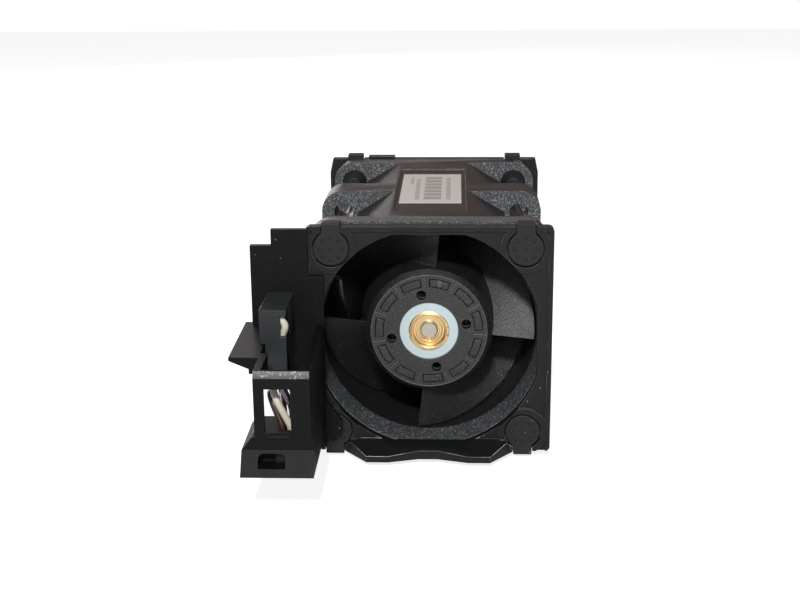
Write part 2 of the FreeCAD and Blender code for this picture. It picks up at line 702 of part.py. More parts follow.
# ---------------------------------------------------------------- stators
def stator_parts(half):
    """Bearing tube, bearings, spring, laminations, formers, windings and board."""
    tube_start = "hub_face_depth + bush_length + 0.5"
    tube_end = "half_length - cup_floor"
    tube_outer = "bearing_radius + tube_wall"
    keep(f"{half}_bearing_tube", ring(f"{half}_tube_body", half, "bearing_radius",
         tube_outer, tube_start, tube_end))
    bore = "shaft_radius + running_gap"
    front = f"{tube_start} + 0.6"
    rear = "hub_face_depth + shaft_length - 1.0 - bearing_width"
    keep(f"{half}_bearings", group(f"{half}_bearing_pair", [
        ring(f"{half}_bearing{number}", half, bore, "bearing_radius",
             start, f"{start} + bearing_width")
        for number, start in enumerate((front, rear))]))
    seat = f"{rear} + bearing_width"
    keep(f"{half}_preload_washer", ring(f"{half}_washer_body", half,
         "bearing_radius - 0.8", "bearing_radius - 0.05", seat, f"{seat} + 0.35"))
    stator_core(half, tube_outer)
    board = ring(f"{half}_board_ring", half, "boss_radius + 0.1", "board_radius",
                 "board_start", "board_start + board_thickness")
    chips = []
    for number, (x, z) in enumerate(CHIPS):
        y = span(half, "board_start - 0.6", "board_start")
        chips.append(box(f"{half}_chip{number}", (f"{x} - 1.0", f"{x} + 1.0"), y,
                         (f"{z} - 1.0", f"{z} + 1.0")))
    keep(f"{half}_circuit_board", fuse(f"{half}_board_body", [board, *chips]))


def arm_box(name, direction, inner, outer, half_width, y):
    """A block on one of the four stator arms."""
    reach = (inner, outer) if sum(direction) > 0 else (f"-({outer})", f"-({inner})")
    across = (f"-({half_width})", half_width)
    return box(name, *((reach, y, across) if direction[0] else (across, y, reach)))


def stator_core(half, tube_outer):
    """Four-armed lamination stack with its formers and windings."""
    bore = "yoke_radius - yoke_wall - magnet_wall - air_gap"
    core_y = span(half, "core_start", "core_start + core_length")
    hub = rod(f"{half}_core_hub", f"{tube_outer} + 1.0", 0, 0, core_y)
    rim = cut(f"{half}_core_rim", rod(f"{half}_core_outer", bore, 0, 0, core_y),
              [rod(f"{half}_core_inner", f"{bore} - 0.7", 0, 0, core_y)])
    arms, gaps, formers, coils = [], [], [], []
    width = "arm_half_width"
    for number, direction in enumerate(((1, 0), (0, 1), (-1, 0), (0, -1))):
        arms.append(arm_box(f"{half}_arm{number}", direction, tube_outer, f"{bore} - 0.4",
                            width, core_y))
        gap = box(f"{half}_gap{number}", (f"{bore} - 2", f"{bore} + 1"), core_y, (-0.5, 0.5))
        gaps.append(turned(f"{half}_pole_gap{number}", gap, 45 + 90 * number))
        inner, outer = f"{tube_outer} + 1.05", f"{bore} - 0.95"
        formers.append(sleeve(f"{half}_former{number}", half, direction, inner, outer,
                              width, "former_wall"))
        coils.append(sleeve(f"{half}_coil{number}", half, direction, f"{inner} + 0.1",
                            f"{outer} - 0.1", f"{width} + former_wall", "coil_thickness",
                            "former_wall"))
    poles = cut(f"{half}_poles", rim, gaps)
    star = fuse(f"{half}_star", [hub, poles, *arms])
    keep(f"{half}_stator_core",
         cut(f"{half}_core_body", star, [rod(f"{half}_core_bore", tube_outer, 0, 0, core_y)]))
    keep(f"{half}_coil_formers", group(f"{half}_former_set", formers))
    keep(f"{half}_stator_coils", group(f"{half}_coil_set", coils))


def sleeve(name, half, direction, inner, outer, half_width, wall, clear="0"):
    """A rectangular tube round one stator arm."""
    near, far = f"core_start - {clear}", f"core_start + core_length + {clear}"
    hole = arm_box(f"{name}_hole", direction, f"{inner} - 1", f"{outer} + 1", half_width,
                   span(half, near, far))
    skin = arm_box(f"{name}_skin", direction, inner, outer, f"{half_width} + {wall}",
                   span(half, f"{near} - {wall}", f"{far} + {wall}"))
    return cut(name, skin, [hole])


# ---------------------------------------------------------------- frames
def opening_tool(name, y):
    """Round opening with a flat on each side."""
    disc = rod(f"{name}_disc", "opening_radius", 0, 0, y)
    square = box(f"{name}_square", ("-opening_half", "opening_half"), y,
                 ("-opening_half", "opening_half"))
    return common(name, disc, square)


def keyhole_tools(name, y_plate, y_seat):
    """Keyholes for the four isolators: a through slot to the edge and a round seat."""
    tools = []
    for number, (sx, sz) in enumerate(CORNERS):
        x, z = f"{sx} * hole_offset", f"{sz} * hole_offset"
        seat = rod(f"{name}_seat{number}", "seat_radius", x, z, y_seat)
        low, high = sorted((z, f"{sz} * (hole_offset + 8)"), key=value)
        slot = box(f"{name}_slot{number}", (f"{x} - slot_half_width", f"{x} + slot_half_width"),
                   y_plate, (low, high))
        round_end = rod(f"{name}_round{number}", "keyhole_radius", x, z, y_plate)
        tools += [seat, slot, round_end]
    return tools


def front_frame():
    """Front frame: rim, sunk field, collars round the isolators, and the finger lip."""
    name = "front_frame"
    left, right = f"-{FRAME_LEFT}", FRAME_RIGHT
    top, bottom = FRAME_TOP, f"-{FRAME_BOTTOM}"
    plate = slab(f"{name}_plate", [(left, bottom), (right, bottom), (right, top), (left, top)],
                 ("0", "frame_thickness"))
    rounded(plate, "0.9", lambda edge, middle: runs_along(edge, Vector(0, 1, 0)))
    field = box(f"{name}_field", (f"{left} + rim_width", f"{right} - rim_width"),
                ("-1", "field_depth"), (f"{bottom} - 1", f"{top} - rim_width"))
    sunk = cut(f"{name}_sunk", plate, [field])
    collars = [rod(f"{name}_collar{number}", "collar_radius", f"{sx} * hole_offset",
                   f"{sz} * hole_offset", ("0", "frame_thickness"))
               for number, (sx, sz) in enumerate(CORNERS)]
    trimmed = common(f"{name}_collars", fuse(f"{name}_collar_set", collars), plate)
    whole = fuse(f"{name}_raised", [sunk, trimmed, finger_lip(name)])
    tools = [opening_tool(f"{name}_opening", ("-lip_reach - 1", "frame_thickness + 1"))]
    tools += keyhole_tools(name, ("-1", "frame_thickness + 1"), ("-1", "seat_depth"))
    return keep(name, cut(f"{name}_whole", whole, tools))


def finger_lip(name):
    """Wedge along the bottom edge, sloping down to a front edge with a hollow in it."""
    outline = layer(f"{name}_lip_outline", [
        ("-lip_root_half", "0.6"),
        ("-lip_tip_half", "0.9 - lip_reach"),
        ("-lip_tip_half + 0.7", "-lip_reach"),
        ("-lip_tip_half + 4.4", "-lip_reach"),
        ("-1.6", "lip_scoop - lip_reach"),
        ("1.6", "lip_scoop - lip_reach"),
        ("lip_tip_half - 4.4", "-lip_reach"),
        ("lip_tip_half - 0.7", "-lip_reach"),
        ("lip_tip_half", "0.9 - lip_reach"),
        ("lip_root_half", "0.6"),
    ], ("-lip_bottom", "-lip_root_top"))
    wedge = profile_across(f"{name}_lip_wedge", [
        ("-lip_reach", "-lip_bottom"), ("0.6", "-lip_bottom"), ("0.6", "-lip_root_top"),
        ("0", "-lip_root_top"), ("-lip_reach", "-lip_tip_top"),
    ], ("-lip_root_half", "lip_root_half"))
    return common(f"{name}_lip", outline, wedge)


def rear_frame():
    """Rear frame: a plate like the front one, with a small raised step on its top edge."""
    name = "rear_frame"
    y = (REAR_PLATE, f"{REAR_PLATE} + frame_thickness")
    side, top = "(fan_half_width + rear_side_over)", "fan_half_width"
    inner, low = f"{side} - rear_taper", f"{top} - rear_taper_height"
    plate = slab(f"{name}_plate", [
        (f"-{side}", f"-({low})"), (f"-({inner})", f"-{top}"),
        (inner, f"-{top}"), (side, f"-({low})"),
        (side, low), (inner, top), (f"-({inner})", top), (f"-{side}", low),
    ], y)
    step = box(f"{name}_step", ("-rear_step_left", "-rear_step_right"), y,
               (f"{top} - 1", f"{top} + rear_step_rise"))
    whole = fuse(f"{name}_raised", [plate, step])
    wide = (f"{y[0]} - 1", f"{y[1]} + 1")
    tools = [opening_tool(f"{name}_opening", wide)]
    tools += keyhole_tools(name, wide, (f"{y[1]} - seat_depth", f"{y[1]} + 1"))
    return keep(name, cut(f"{name}_whole", whole, tools))


def isolators(end):
    """Four rubber rivets: disc, neck to the frame's edge, web, stem and bulb."""
    pieces = []
    reach = f"{end}_neck_reach"
    for number, (sx, sz) in enumerate(CORNERS):
        x, z = f"{sx} * hole_offset", f"{sz} * hole_offset"

        def station(depth):
            return depth if end == "front" else f"{REAR_PLATE} + frame_thickness - ({depth})"

        def stretch(near, far):
            ends = (station(near), station(far))
            return ends if end == "front" else ends[::-1]

        key = f"{end}_isolator{number}"
        web = "frame_thickness + isolator_web"
        behind = f"{web} + flange_thickness"
        wide_disc = "seat_radius - disc_gap"
        disc = rod(f"{key}_disc", wide_disc, x, z, stretch("0.1", "seat_depth"))
        low, high = sorted((z, f"{sz} * (hole_offset + {reach})"), key=value)
        neck = box(f"{key}_neck", (f"{x} - {NECK}", f"{x} + {NECK}"), stretch("0.1", web),
                   (low, high))
        core = rod(f"{key}_core", "keyhole_radius - seat_gap", x, z,
                   stretch("seat_depth", "frame_thickness"))
        flange = rod(f"{key}_flange", wide_disc, x, z, stretch("frame_thickness", web))
        stem = rod(f"{key}_stem", "isolator_hole_radius - stem_gap", x, z,
                   stretch(web, f"{behind} + 0.3"))
        radii = ("isolator_hole_radius + bulb_rise", "isolator_hole_radius * 0.6")
        wide, narrow = radii if end == "front" else radii[::-1]
        bulb = rod(f"{key}_bulb", wide, x, z, stretch(behind, f"{behind} + bulb_length"),
                   tip=narrow)
        pieces.append(fuse(key, [disc, neck, core, flange, stem, bulb]))
    return keep(f"{end}_isolators", group(f"{end}_isolator_set", pieces))


# ---------------------------------------------------------------- connector bracket
def connector_bracket():
    """Moulded bracket: a plate beside the fan and a hollow tower that holds the plug."""
    name = "connector_bracket"
    left, right, top = "-plate_left", "-plate_right", "plate_top"
    edge = f"-{FRAME_LEFT} + plate_overlap"
    collar_end = "hole_offset - collar_radius - 0.3"
    plate = slab(f"{name}_plate", [
        (left, "-plate_foot"), ("-tower_left", "-plate_foot"), ("-tower_left", "-plate_skirt"),
        (right, "-plate_skirt"), (right, collar_end),
        (edge, collar_end), (edge, top), (f"{left} + notch_width", top),
        (f"{left} + notch_width", f"{top} - notch_height"), (left, f"{top} - notch_height"),
    ], ("-plate_thickness", "0"))
    front = "-tower_reach"
    inner_front = f"{front} + tower_wall"
    tall = ("-floor_top", "tower_top")
    front_wall = box(f"{name}_front_wall", ("-tower_left", right), (front, inner_front), tall)
    turned_in = ("-tower_left", "-tower_left + tower_wall")
    left_edge = box(f"{name}_left_edge", turned_in, (front, f"{front} + return_depth"), tall)
    rail = box(f"{name}_rail", turned_in, (front, "-floor_rear"), ("window_top", "tower_top"))
    floor = box(f"{name}_floor", ("-tower_left", right), (front, "-floor_rear"),
                ("-floor_top - floor_thickness", "-floor_top"))
    web = profile_across(f"{name}_web", [
        (front, "tower_top"), (front, "-foot_bottom"), ("-foot_rear", "-foot_bottom"),
        ("0", "-web_foot"), ("0", "tower_top"),
    ], (f"{right} - tower_wall", right))
    shelf = slab(f"{name}_wing", [
        ("-wing_left", "tower_top"), ("-wing_left", "tower_top - wing_tip"),
        ("-tower_left - 1.6", "tower_top - wing_root"),
        ("-tower_left - 1.6", "tower_top - wing_root - 0.8"),
        ("-tower_left", "tower_top - wing_root - 0.8"), ("-tower_left", "tower_top"),
    ], ("-wing_reach", "0"))
    ear = slab(f"{name}_ear", [
        (f"{right} - 0.5", "-ear_bottom"), ("-ear_right - 1.4", "-ear_bottom"),
        ("-ear_right", "-ear_bottom + 1.2"), ("-ear_right", "-ear_top - 3.6"),
        (f"{right} + 0.2", "-ear_top"), (f"{right} - 0.5", "-ear_top"),
    ], ("-ear_thickness", "0"))
    boss = rod(f"{name}_boss", "small_boss_radius", "-boss_left", "-boss_height_below",
               (f"{front} - ridge_rise", front))
    ridge = box(f"{name}_ridge", ("-boss_left", "-boss_left + ridge_length"),
                (f"{front} - ridge_rise", front),
                ("-boss_height_below - 0.35", "-boss_height_below - 0.1"))
    solid = fuse(f"{name}_solid", [plate, front_wall, left_edge, rail, floor, web, shelf, ear,
                                   boss, ridge, foot(name)])
    return keep(name, cut(f"{name}_whole", solid, bracket_openings(name)))


def foot(name):
    """Foot of the tower: a front that slopes out, and sides that slope in to the tower."""
    block = profile_across(f"{name}_foot", [
        ("-tower_reach", "-foot_top"), ("-foot_reach", "-foot_bottom"),
        ("-foot_rear", "-foot_bottom"), ("-foot_rear", "-foot_top"),
    ], ("-foot_left", "-foot_right"))
    shoulders = doc.addObject("PartDesign::Body", f"{name}_shoulders")
    lower = new_sketch(shoulders, "XY_Plane")
    tie(lower, "AttachmentOffset.Base.z", "-foot_top")
    polygon(lower, [("-foot_left", "-tower_reach"), ("-foot_right", "-tower_reach"),
                    ("-foot_right", "-foot_rear"), ("-foot_left", "-foot_rear")])
    upper = new_sketch(shoulders, "XY_Plane")
    tie(upper, "AttachmentOffset.Base.z", "-floor_top")
    polygon(upper, [("-tower_left - 0.5", "-tower_reach"), ("-plate_right", "-tower_reach"),
                    ("-plate_right", "-floor_rear"), ("-tower_left - 0.5", "-floor_rear")])
    loft = shoulders.newObject("PartDesign::AdditiveLoft", f"{name}_shoulder_loft")
    loft.Profile = lower
    loft.Sections = [upper]
    return fuse(f"{name}_foot_solid", [block, shoulders])


def bracket_openings(name):
    """Window, plug cavity, lead slots and the slot in the foot."""
    front = "-tower_reach"
    window = box(f"{name}_window", ("-window_left", "-window_left + window_width"),
                 (f"{front} - 0.5", f"{front} + tower_wall + 0.1"),
                 ("window_top - window_height", "window_top"))
    cavity = box(f"{name}_cavity", ("-plug_left - seat_gap", "-plug_right + seat_gap"),
                 ("-plug_front - seat_gap", "-plug_rear + seat_gap"),
                 ("-foot_bottom - 1", "-plug_top"))
    floor_slot = box(f"{name}_floor_slot", ("-plug_left + 0.3", "-plug_right - 0.2"),
                     ("-plug_front + 1.5", "-plug_rear - 0.6"),
                     ("-plug_top - 0.5", "-floor_top + 0.5"))
    slot_left, slot_right = "-foot_slot_left", "-foot_slot_left + foot_slot_width"
    slot_low = "-foot_bottom + 1.1"
    slot_top, rounding = f"{slot_low} + foot_slot_height", "foot_slot_round"
    foot_slot = slab(f"{name}_foot_slot", [
        (slot_left, slot_low), (slot_right, slot_low), (slot_right, f"{slot_top} - {rounding}"),
        (f"{slot_right} - 0.3 * {rounding}", f"{slot_top} - 0.3 * {rounding}"),
        (f"{slot_right} - {rounding}", slot_top), (f"{slot_left} + {rounding}", slot_top),
        (f"{slot_left} + 0.3 * {rounding}", f"{slot_top} - 0.3 * {rounding}"),
        (slot_left, f"{slot_top} - {rounding}"),
    ], ("-foot_reach - 1", "-plug_front + 0.5"))
    layers = f"{LEAD_INNER} + lead_spread"
    lead_hole = box(f"{name}_lead_hole",
                    (f"-({layers}) - lead_pitch - 0.9", f"-({layers}) + 0.9"),
                    ("-plate_thickness - 1", "1"),
                    ("lead_height - lead_pitch - 0.9", "lead_height + lead_pitch + 0.9"))
    bevel = profile_across(f"{name}_bevel", [
        (f"{front} - 0.5", "tower_top + 0.1"), (f"{front} - 0.5", "tower_top - 1.1"),
        (front, "tower_top - 1.0"), (f"{front} + 0.6", "tower_top"),
        (f"{front} + 0.6", "tower_top + 0.1"),
    ], ("-tower_left - 1", "-plate_right + 1"))
    return [window, cavity, floor_slot, foot_slot, lead_hole, bevel]


# ---------------------------------------------------------------- plug, clip and leads
def contact_centres():
    """Middle of each contact, as (x, y) formulas, by column and row."""
    middle_x = "-(plug_left + plug_right) / 2"
    middle_y = "-(plug_front + plug_rear) / 2"
    return {(column, row): (f"{middle_x} + {column} * contact_pitch",
                            f"{middle_y} + {side} * row_pitch")
            for row, side in (("front", -0.5), ("rear", 0.5)) for column in (-1, 0, 1)}


def plug():
    """Six-way plug housing, open at the underside, and its contacts."""
    shell = box("plug_shell", ("-plug_left", "-plug_right"), ("-plug_front", "-plug_rear"),
                ("-plug_bottom", "-plug_top"))
    cavities, contacts = [], []
    for number, (x, y) in enumerate(contact_centres().values()):
        cavities.append(box(f"plug_cavity{number}", (f"{x} - cavity_half_width",
                        f"{x} + cavity_half_width"), (f"{y} - cavity_half_width",
                        f"{y} + cavity_half_width"), ("-plug_bottom - 1", "-plug_top - 0.9")))
        contacts.append(box(f"plug_contact{number}", (f"{x} - contact_half_width",
                        f"{x} + contact_half_width"), (f"{y} - contact_half_width",
                        f"{y} + contact_half_width"), ("-plug_bottom + 0.5", "-plug_top - 0.9")))
    keep("plug_housing", cut("plug_body", shell, cavities))
    keep("plug_contacts", group("plug_contact_set", contacts))


def cable_clip():
    """Cover over the leads where they turn down into the tower."""
    low, right = "tower_top", "-clip_right"
    front = ("-clip_reach", "-clip_reach + clip_wall")
    skin = box("clip_skin", ("-clip_left", right), ("-clip_reach", "-plate_thickness"),
               (low, "clip_top"))
    hollow = box("clip_hollow", ("-clip_left + clip_wall", f"{right} - clip_side_wall"),
                 (front[1], "0"), (f"{low} - 1", "clip_top - clip_wall"))
    open_side = box("clip_open_side", (f"{right} - 1", f"{right} + 1"),
                    (front[1], "-clip_side_reach"), (f"{low} - 1", "clip_top - clip_wall"))
    notch = box("clip_notch", (f"{right} - clip_notch_width", f"{right} + 1"),
                ("-clip_reach - 1", front[1]), ("clip_notch_low", "clip_notch_high"))
    skirt = box("clip_skirt", ("-tower_left + seat_gap", right), front,
                ("-clip_skirt", f"{low} + 0.5"))
    hood = cut("clip_hood", skin, [hollow, open_side, notch])
    keep("cable_clip", fuse("clip_body", [hood, skirt]))


def path(points, limits):
    """Straight runs joined by tangent arcs, each as large as its runs and its limit allow."""
    edges, radii = [], []
    start = points[0]
    for last_corner, corner, after, limit in zip(points, points[1:-1], points[2:], limits):
        shorter = min((corner - last_corner).Length, (after - corner).Length)
        before = (last_corner - corner).normalize()
        onward = (after - corner).normalize()
        turn = math.pi - before.getAngle(onward)
        radius = min(limit, ARC_SHARE * shorter / math.tan(turn / 2))
        radii.append(radius)
        setback = radius * math.tan(turn / 2)
        first, last = corner + before * setback, corner + onward * setback
        inward = (before + onward).normalize()
        centre = corner + inward * (radius / math.cos(turn / 2))
        middle = centre - inward * radius
        edges.append(Part.LineSegment(start, first).toShape())
        edges.append(Part.Arc(first, middle, last).toShape())
        start = last
    edges.append(Part.LineSegment(start, points[-1]).toShape())
    return Part.Wire(edges), radii


def lead(node, points, limits):
    """One insulated lead: an eight-sided section as large as the round one, swept along its path."""
    line, radii = path(points, limits)
    heading = (points[1] - points[0]).normalize()
    area = math.pi * value("lead_radius") ** 2
    reach = math.sqrt(area / (4 * math.sin(math.pi / 4)))
    across = heading.cross(Vector(0, 0, 1)).normalize()
    corners = [points[0] + Rotation(heading, 45 * number + 22.5).multVec(across) * reach
               for number in range(8)]
    section = Part.makePolygon(corners + corners[:1])
    tube = line.makePipeShell([section], True, False)
    item = doc.addObject("Part::Feature", f"{node}_body")
    item.Shape = tube
    expected = area * line.Length
    print(f"{node}: length {line.Length:.1f}, volume ratio {tube.Volume / expected:.4f}, "
          f"radii {[round(r, 2) for r in radii]}")
    return keep(node, item)


def leads():
    """Three leads from each motor, along the fan's left side and down to the plug."""
    centres = contact_centres()
    for colour, (half, place, contact, corners) in LEADS.items():
        exit_y = value(along(half, "half_length - strut_depth - lead_radius - 0.02"))
        layer_x = -value(LEAD_INNER) - HALVES.index(half) * value("lead_pitch")
        height = value("lead_height") + (1 - place) * value("lead_pitch")
        end_x, end_y = (value(text) for text in centres[contact])
        points = [
            Vector(-9.6, exit_y, height),
            Vector(layer_x, exit_y, height),
            Vector(layer_x - value("lead_spread"), value("spread_start"), height),
            *(Vector(*corner[:3]) for corner in corners),
            Vector(end_x, end_y, -value("plug_top")),
        ]
        limits = [value("exit_bend"), SLIGHT_BEND, *(corner[3] for corner in corners)]
        lead(f"{colour}_lead", points, limits)


def fan_label():
    """Paper label in the recess on top, across the seam."""
    start = f"{FAN_FRONT} + label_start"
    bottom = "fan_half_width - label_depth"
    return keep("fan_label", box("label_sheet", ("-label_half_width", "label_half_width"),
                (start, f"{start} + label_length"), (bottom, f"{bottom} + label_thickness")))


def balance_putty():
    """Dab of balancing putty in one pocket of the inlet hub."""
    radius = "(pocket_inner + pocket_outer) / 2"
    angle = math.radians(pocket_middle(PUTTY_POCKET))
    dab = doc.addObject("Part::Ellipsoid", "putty_dab")
    tie(dab, "Radius1", "pocket_depth * 0.6")
    tie(dab, "Radius2", "(pocket_outer - pocket_inner) * 0.3")
    tie(dab, "Radius3", "(pocket_outer - pocket_inner) * 0.42")
    dab.Placement = Placement(Vector(0, 0, 0), Rotation(Vector(1, 0, 0), -90))
    tie(dab, "Placement.Base.x", f"{radius} * {math.cos(angle):.5f}")
    tie(dab, "Placement.Base.y", f"{FAN_FRONT} + hub_face_depth + pocket_depth * 0.4 - 0.01")
    tie(dab, "Placement.Base.z", f"{radius} * {math.sin(angle):.5f}")
    return keep("balance_putty", dab)


# ---------------------------------------------------------------- build and write
for each in HALVES:
    fan_housing(each)
    impeller(each)
    rotor_parts(each)
    stator_parts(each)
front_frame()
rear_frame()
isolators("front")
isolators("rear")
connector_bracket()
plug()
cable_clip()
leads()
fan_label()
balance_putty()
doc.recompute()

for item in doc.Objects:
    if "Invalid" in item.State or "Error" in item.State:
        raise RuntimeError(f"{item.Name} failed: {item.State}")

os.makedirs("parts", exist_ok=True)
for node, item in PARTS.items():
    shape = item.Shape
    if shape.isNull() or not shape.isValid() or not shape.Solids:
        raise RuntimeError(f"{node} has no valid solid")
    shape.exportStep(f"parts/{node}.step")
    print(f"{node}: {len(shape.Solids)} solid(s), {shape.Volume:.1f} mm3")
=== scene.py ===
import json
import math

import bpy
from mathutils import Matrix, Vector

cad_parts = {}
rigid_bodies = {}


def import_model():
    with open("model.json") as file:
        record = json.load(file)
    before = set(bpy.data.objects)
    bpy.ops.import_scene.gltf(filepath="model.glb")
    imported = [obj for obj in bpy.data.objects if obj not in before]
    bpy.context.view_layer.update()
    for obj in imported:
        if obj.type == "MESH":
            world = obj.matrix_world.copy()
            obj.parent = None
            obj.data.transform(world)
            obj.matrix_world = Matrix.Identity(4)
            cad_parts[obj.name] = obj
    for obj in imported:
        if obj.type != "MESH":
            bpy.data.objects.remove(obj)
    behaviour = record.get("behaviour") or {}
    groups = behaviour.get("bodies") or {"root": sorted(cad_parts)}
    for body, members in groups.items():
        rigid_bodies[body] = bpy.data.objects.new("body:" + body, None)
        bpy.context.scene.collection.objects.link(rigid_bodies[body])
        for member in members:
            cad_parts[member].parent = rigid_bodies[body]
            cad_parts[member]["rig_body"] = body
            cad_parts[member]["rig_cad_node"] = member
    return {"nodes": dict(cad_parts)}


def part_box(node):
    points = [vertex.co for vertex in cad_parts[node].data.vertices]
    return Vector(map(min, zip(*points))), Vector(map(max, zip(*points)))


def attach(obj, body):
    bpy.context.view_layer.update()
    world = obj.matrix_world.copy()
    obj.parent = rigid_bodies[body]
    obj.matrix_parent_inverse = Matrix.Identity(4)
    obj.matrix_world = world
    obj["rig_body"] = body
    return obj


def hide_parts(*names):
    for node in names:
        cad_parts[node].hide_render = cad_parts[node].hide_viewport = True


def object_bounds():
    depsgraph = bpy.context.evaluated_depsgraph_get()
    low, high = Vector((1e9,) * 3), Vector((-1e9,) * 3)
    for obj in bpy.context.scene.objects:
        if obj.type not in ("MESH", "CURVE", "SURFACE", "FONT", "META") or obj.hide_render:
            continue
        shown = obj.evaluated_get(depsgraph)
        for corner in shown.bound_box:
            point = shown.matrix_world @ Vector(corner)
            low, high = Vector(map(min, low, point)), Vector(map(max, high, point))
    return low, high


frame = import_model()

cad_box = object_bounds()
cad = frame["nodes"]
MM = 0.001
HALVES = ("inlet", "outlet")


# ------------------------------------------------------------------ camera, floor, light
# A bench view of the inlet from a little above, on white paper. A small lamp above the
# lens and a little to its left throws the frame's shadow into the duct; a weak lamp near
# the lens, a warm one behind the module and a low one at its outlet fill in.
CAMERA_AT = Vector((4.574, -216.967, 70.850)) * MM
TILT_DOWN, TURN_LEFT, ROLL = math.radians(16.317), math.radians(2.439), math.radians(-0.4996)
LENS_MM, SENSOR_MM = 61.47, 36.0

ahead = Vector((-math.sin(TURN_LEFT) * math.cos(TILT_DOWN),
                math.cos(TURN_LEFT) * math.cos(TILT_DOWN), -math.sin(TILT_DOWN)))
level_right = Vector((math.cos(TURN_LEFT), math.sin(TURN_LEFT), 0.0))
level_up = level_right.cross(ahead)
right = math.cos(ROLL) * level_right + math.sin(ROLL) * level_up
up = -math.sin(ROLL) * level_right + math.cos(ROLL) * level_up

bpy.ops.object.select_all(action="DESELECT")
bpy.ops.object.camera_add()
camera = bpy.context.object
camera.data.sensor_width = SENSOR_MM
camera.data.lens = LENS_MM
camera.data.clip_start = 0.01
camera.matrix_world = Matrix((
    (right.x, up.x, -ahead.x, CAMERA_AT.x),
    (right.y, up.y, -ahead.y, CAMERA_AT.y),
    (right.z, up.z, -ahead.z, CAMERA_AT.z),
    (0, 0, 0, 1),
))
scene = bpy.context.scene
scene.camera = camera
scene.view_settings.view_transform = "Standard"


def linear(code):
    """A colour written as sRGB hex, as Blender's linear RGBA."""
    parts = [int(code[i:i + 2], 16) / 255 for i in (1, 3, 5)]
    return [c / 12.92 if c <= 0.04045 else ((c + 0.055) / 1.055) ** 2.4 for c in parts] + [1.0]


def add_node(tree, kind, links=(), settings=(), **inputs):
    """One shader node: its settings, its input values, and links (source, output, input)."""
    node = tree.nodes.new(kind)
    for name, value in dict(settings).items():
        setattr(node, name, value)
    for name, value in inputs.items():
        node.inputs[name.replace("_", " ")].default_value = value
    for source, output, socket in links:
        tree.links.new(source.outputs[output], node.inputs[socket])
    return node


def softbox(name, turn, lift, distance, width, height, level, colour):
    """A rectangular soft light, placed by its angles from the front of the module.

    At a level of 1 it lights a white surface that faces it to plain white.
    """
    turn, lift = math.radians(turn), math.radians(lift)
    at = Vector((math.sin(turn) * math.cos(lift), -math.cos(turn) * math.cos(lift),
                 math.sin(lift))) * distance
    bpy.ops.object.light_add(type="AREA", location=at)
    lamp = bpy.context.object
    lamp.name = name
    lamp.rotation_euler = (-at).to_track_quat("-Z", "Y").to_euler()
    lamp.data.shape = "RECTANGLE"
    lamp.data.size = width
    lamp.data.size_y = height
    lamp.data.energy = level * math.pi ** 2 * distance ** 2
    lamp.data.color = linear(colour)[:3]
    lamp.visible_camera = False


softbox("upper_lamp", -3, 37, 0.60, 0.05, 0.05, 0.85, "#FFFCF8")
softbox("lens_lamp", 6, 18, 0.60, 0.10, 0.10, 0.10, "#F8FAFF")
softbox("rear_lamp", 178, 24, 0.60, 0.60, 0.20, 0.055, "#FFB488")
softbox("outlet_lamp", 205, 7, 0.60, 0.30, 0.20, 0.30, "#FFFFFF")

# The surroundings are white where they are seen directly, and a dim grey in reflections
# and as a source of light.
world = bpy.data.worlds.new("studio")
scene.world = world
world.use_nodes = True
tree = world.node_tree
tree.nodes.clear()
ray = add_node(tree, "ShaderNodeLightPath")
seen = add_node(tree, "ShaderNodeMath", [(ray, "Is Camera Ray", 0), (ray, "Is Transmission Ray", 1)],
                {"operation": "MAXIMUM"})
ambient = add_node(tree, "ShaderNodeBackground", Color=linear("#F6F9FF"), Strength=0.14)
mirrored = add_node(tree, "ShaderNodeBackground", Color=linear("#F6F9FF"), Strength=0.24)
paper = add_node(tree, "ShaderNodeBackground", Color=linear("#FFFFFF"), Strength=1.0)
with_gloss = add_node(tree, "ShaderNodeMixShader",
                      [(ray, "Is Glossy Ray", "Fac"), (ambient, 0, 1), (mirrored, 0, 2)])
either = add_node(tree, "ShaderNodeMixShader",
                  [(seen, 0, "Fac"), (with_gloss, 0, 1), (paper, 0, 2)])
add_node(tree, "ShaderNodeOutputWorld", [(either, 0, "Surface")])

# The bench is a sheet of matt white paper just under the lowest point of the module. It
# glows for the camera, so that it looks evenly lit, and more faintly in reflections.
CAMERA_GLOW, MIRRORED_GLOW, UNDER_MODULE = 0.79, 0.26, 0.1 * MM
bpy.ops.mesh.primitive_plane_add(size=1.6, location=(0, 0, cad_box[0].z - UNDER_MODULE))
bench = bpy.context.object
bench.name = "bench"
material = bpy.data.materials.new("white_paper_sheet")
material.use_nodes = True
tree = material.node_tree
tree.nodes.clear()
ray = add_node(tree, "ShaderNodeLightPath")
sheet = add_node(tree, "ShaderNodeBsdfDiffuse", Color=linear("#E4E4E4"))
level = add_node(tree, "ShaderNodeMapRange", [(ray, "Is Camera Ray", "Value")],
                 To_Min=MIRRORED_GLOW, To_Max=CAMERA_GLOW)
glow = add_node(tree, "ShaderNodeEmission", [(level, 0, "Strength")], Color=linear("#FFFFFF"))
both = add_node(tree, "ShaderNodeAddShader", [(sheet, 0, 0), (glow, 0, 1)])
seen = add_node(tree, "ShaderNodeMath", [(ray, "Is Camera Ray", 0), (ray, "Is Glossy Ray", 1)],
                {"operation": "MAXIMUM"})
bright = add_node(tree, "ShaderNodeMixShader", [(seen, 0, "Fac"), (sheet, 0, 1), (both, 0, 2)])
add_node(tree, "ShaderNodeOutputMaterial", [(bright, 0, "Surface")])
bench.data.materials.append(material)


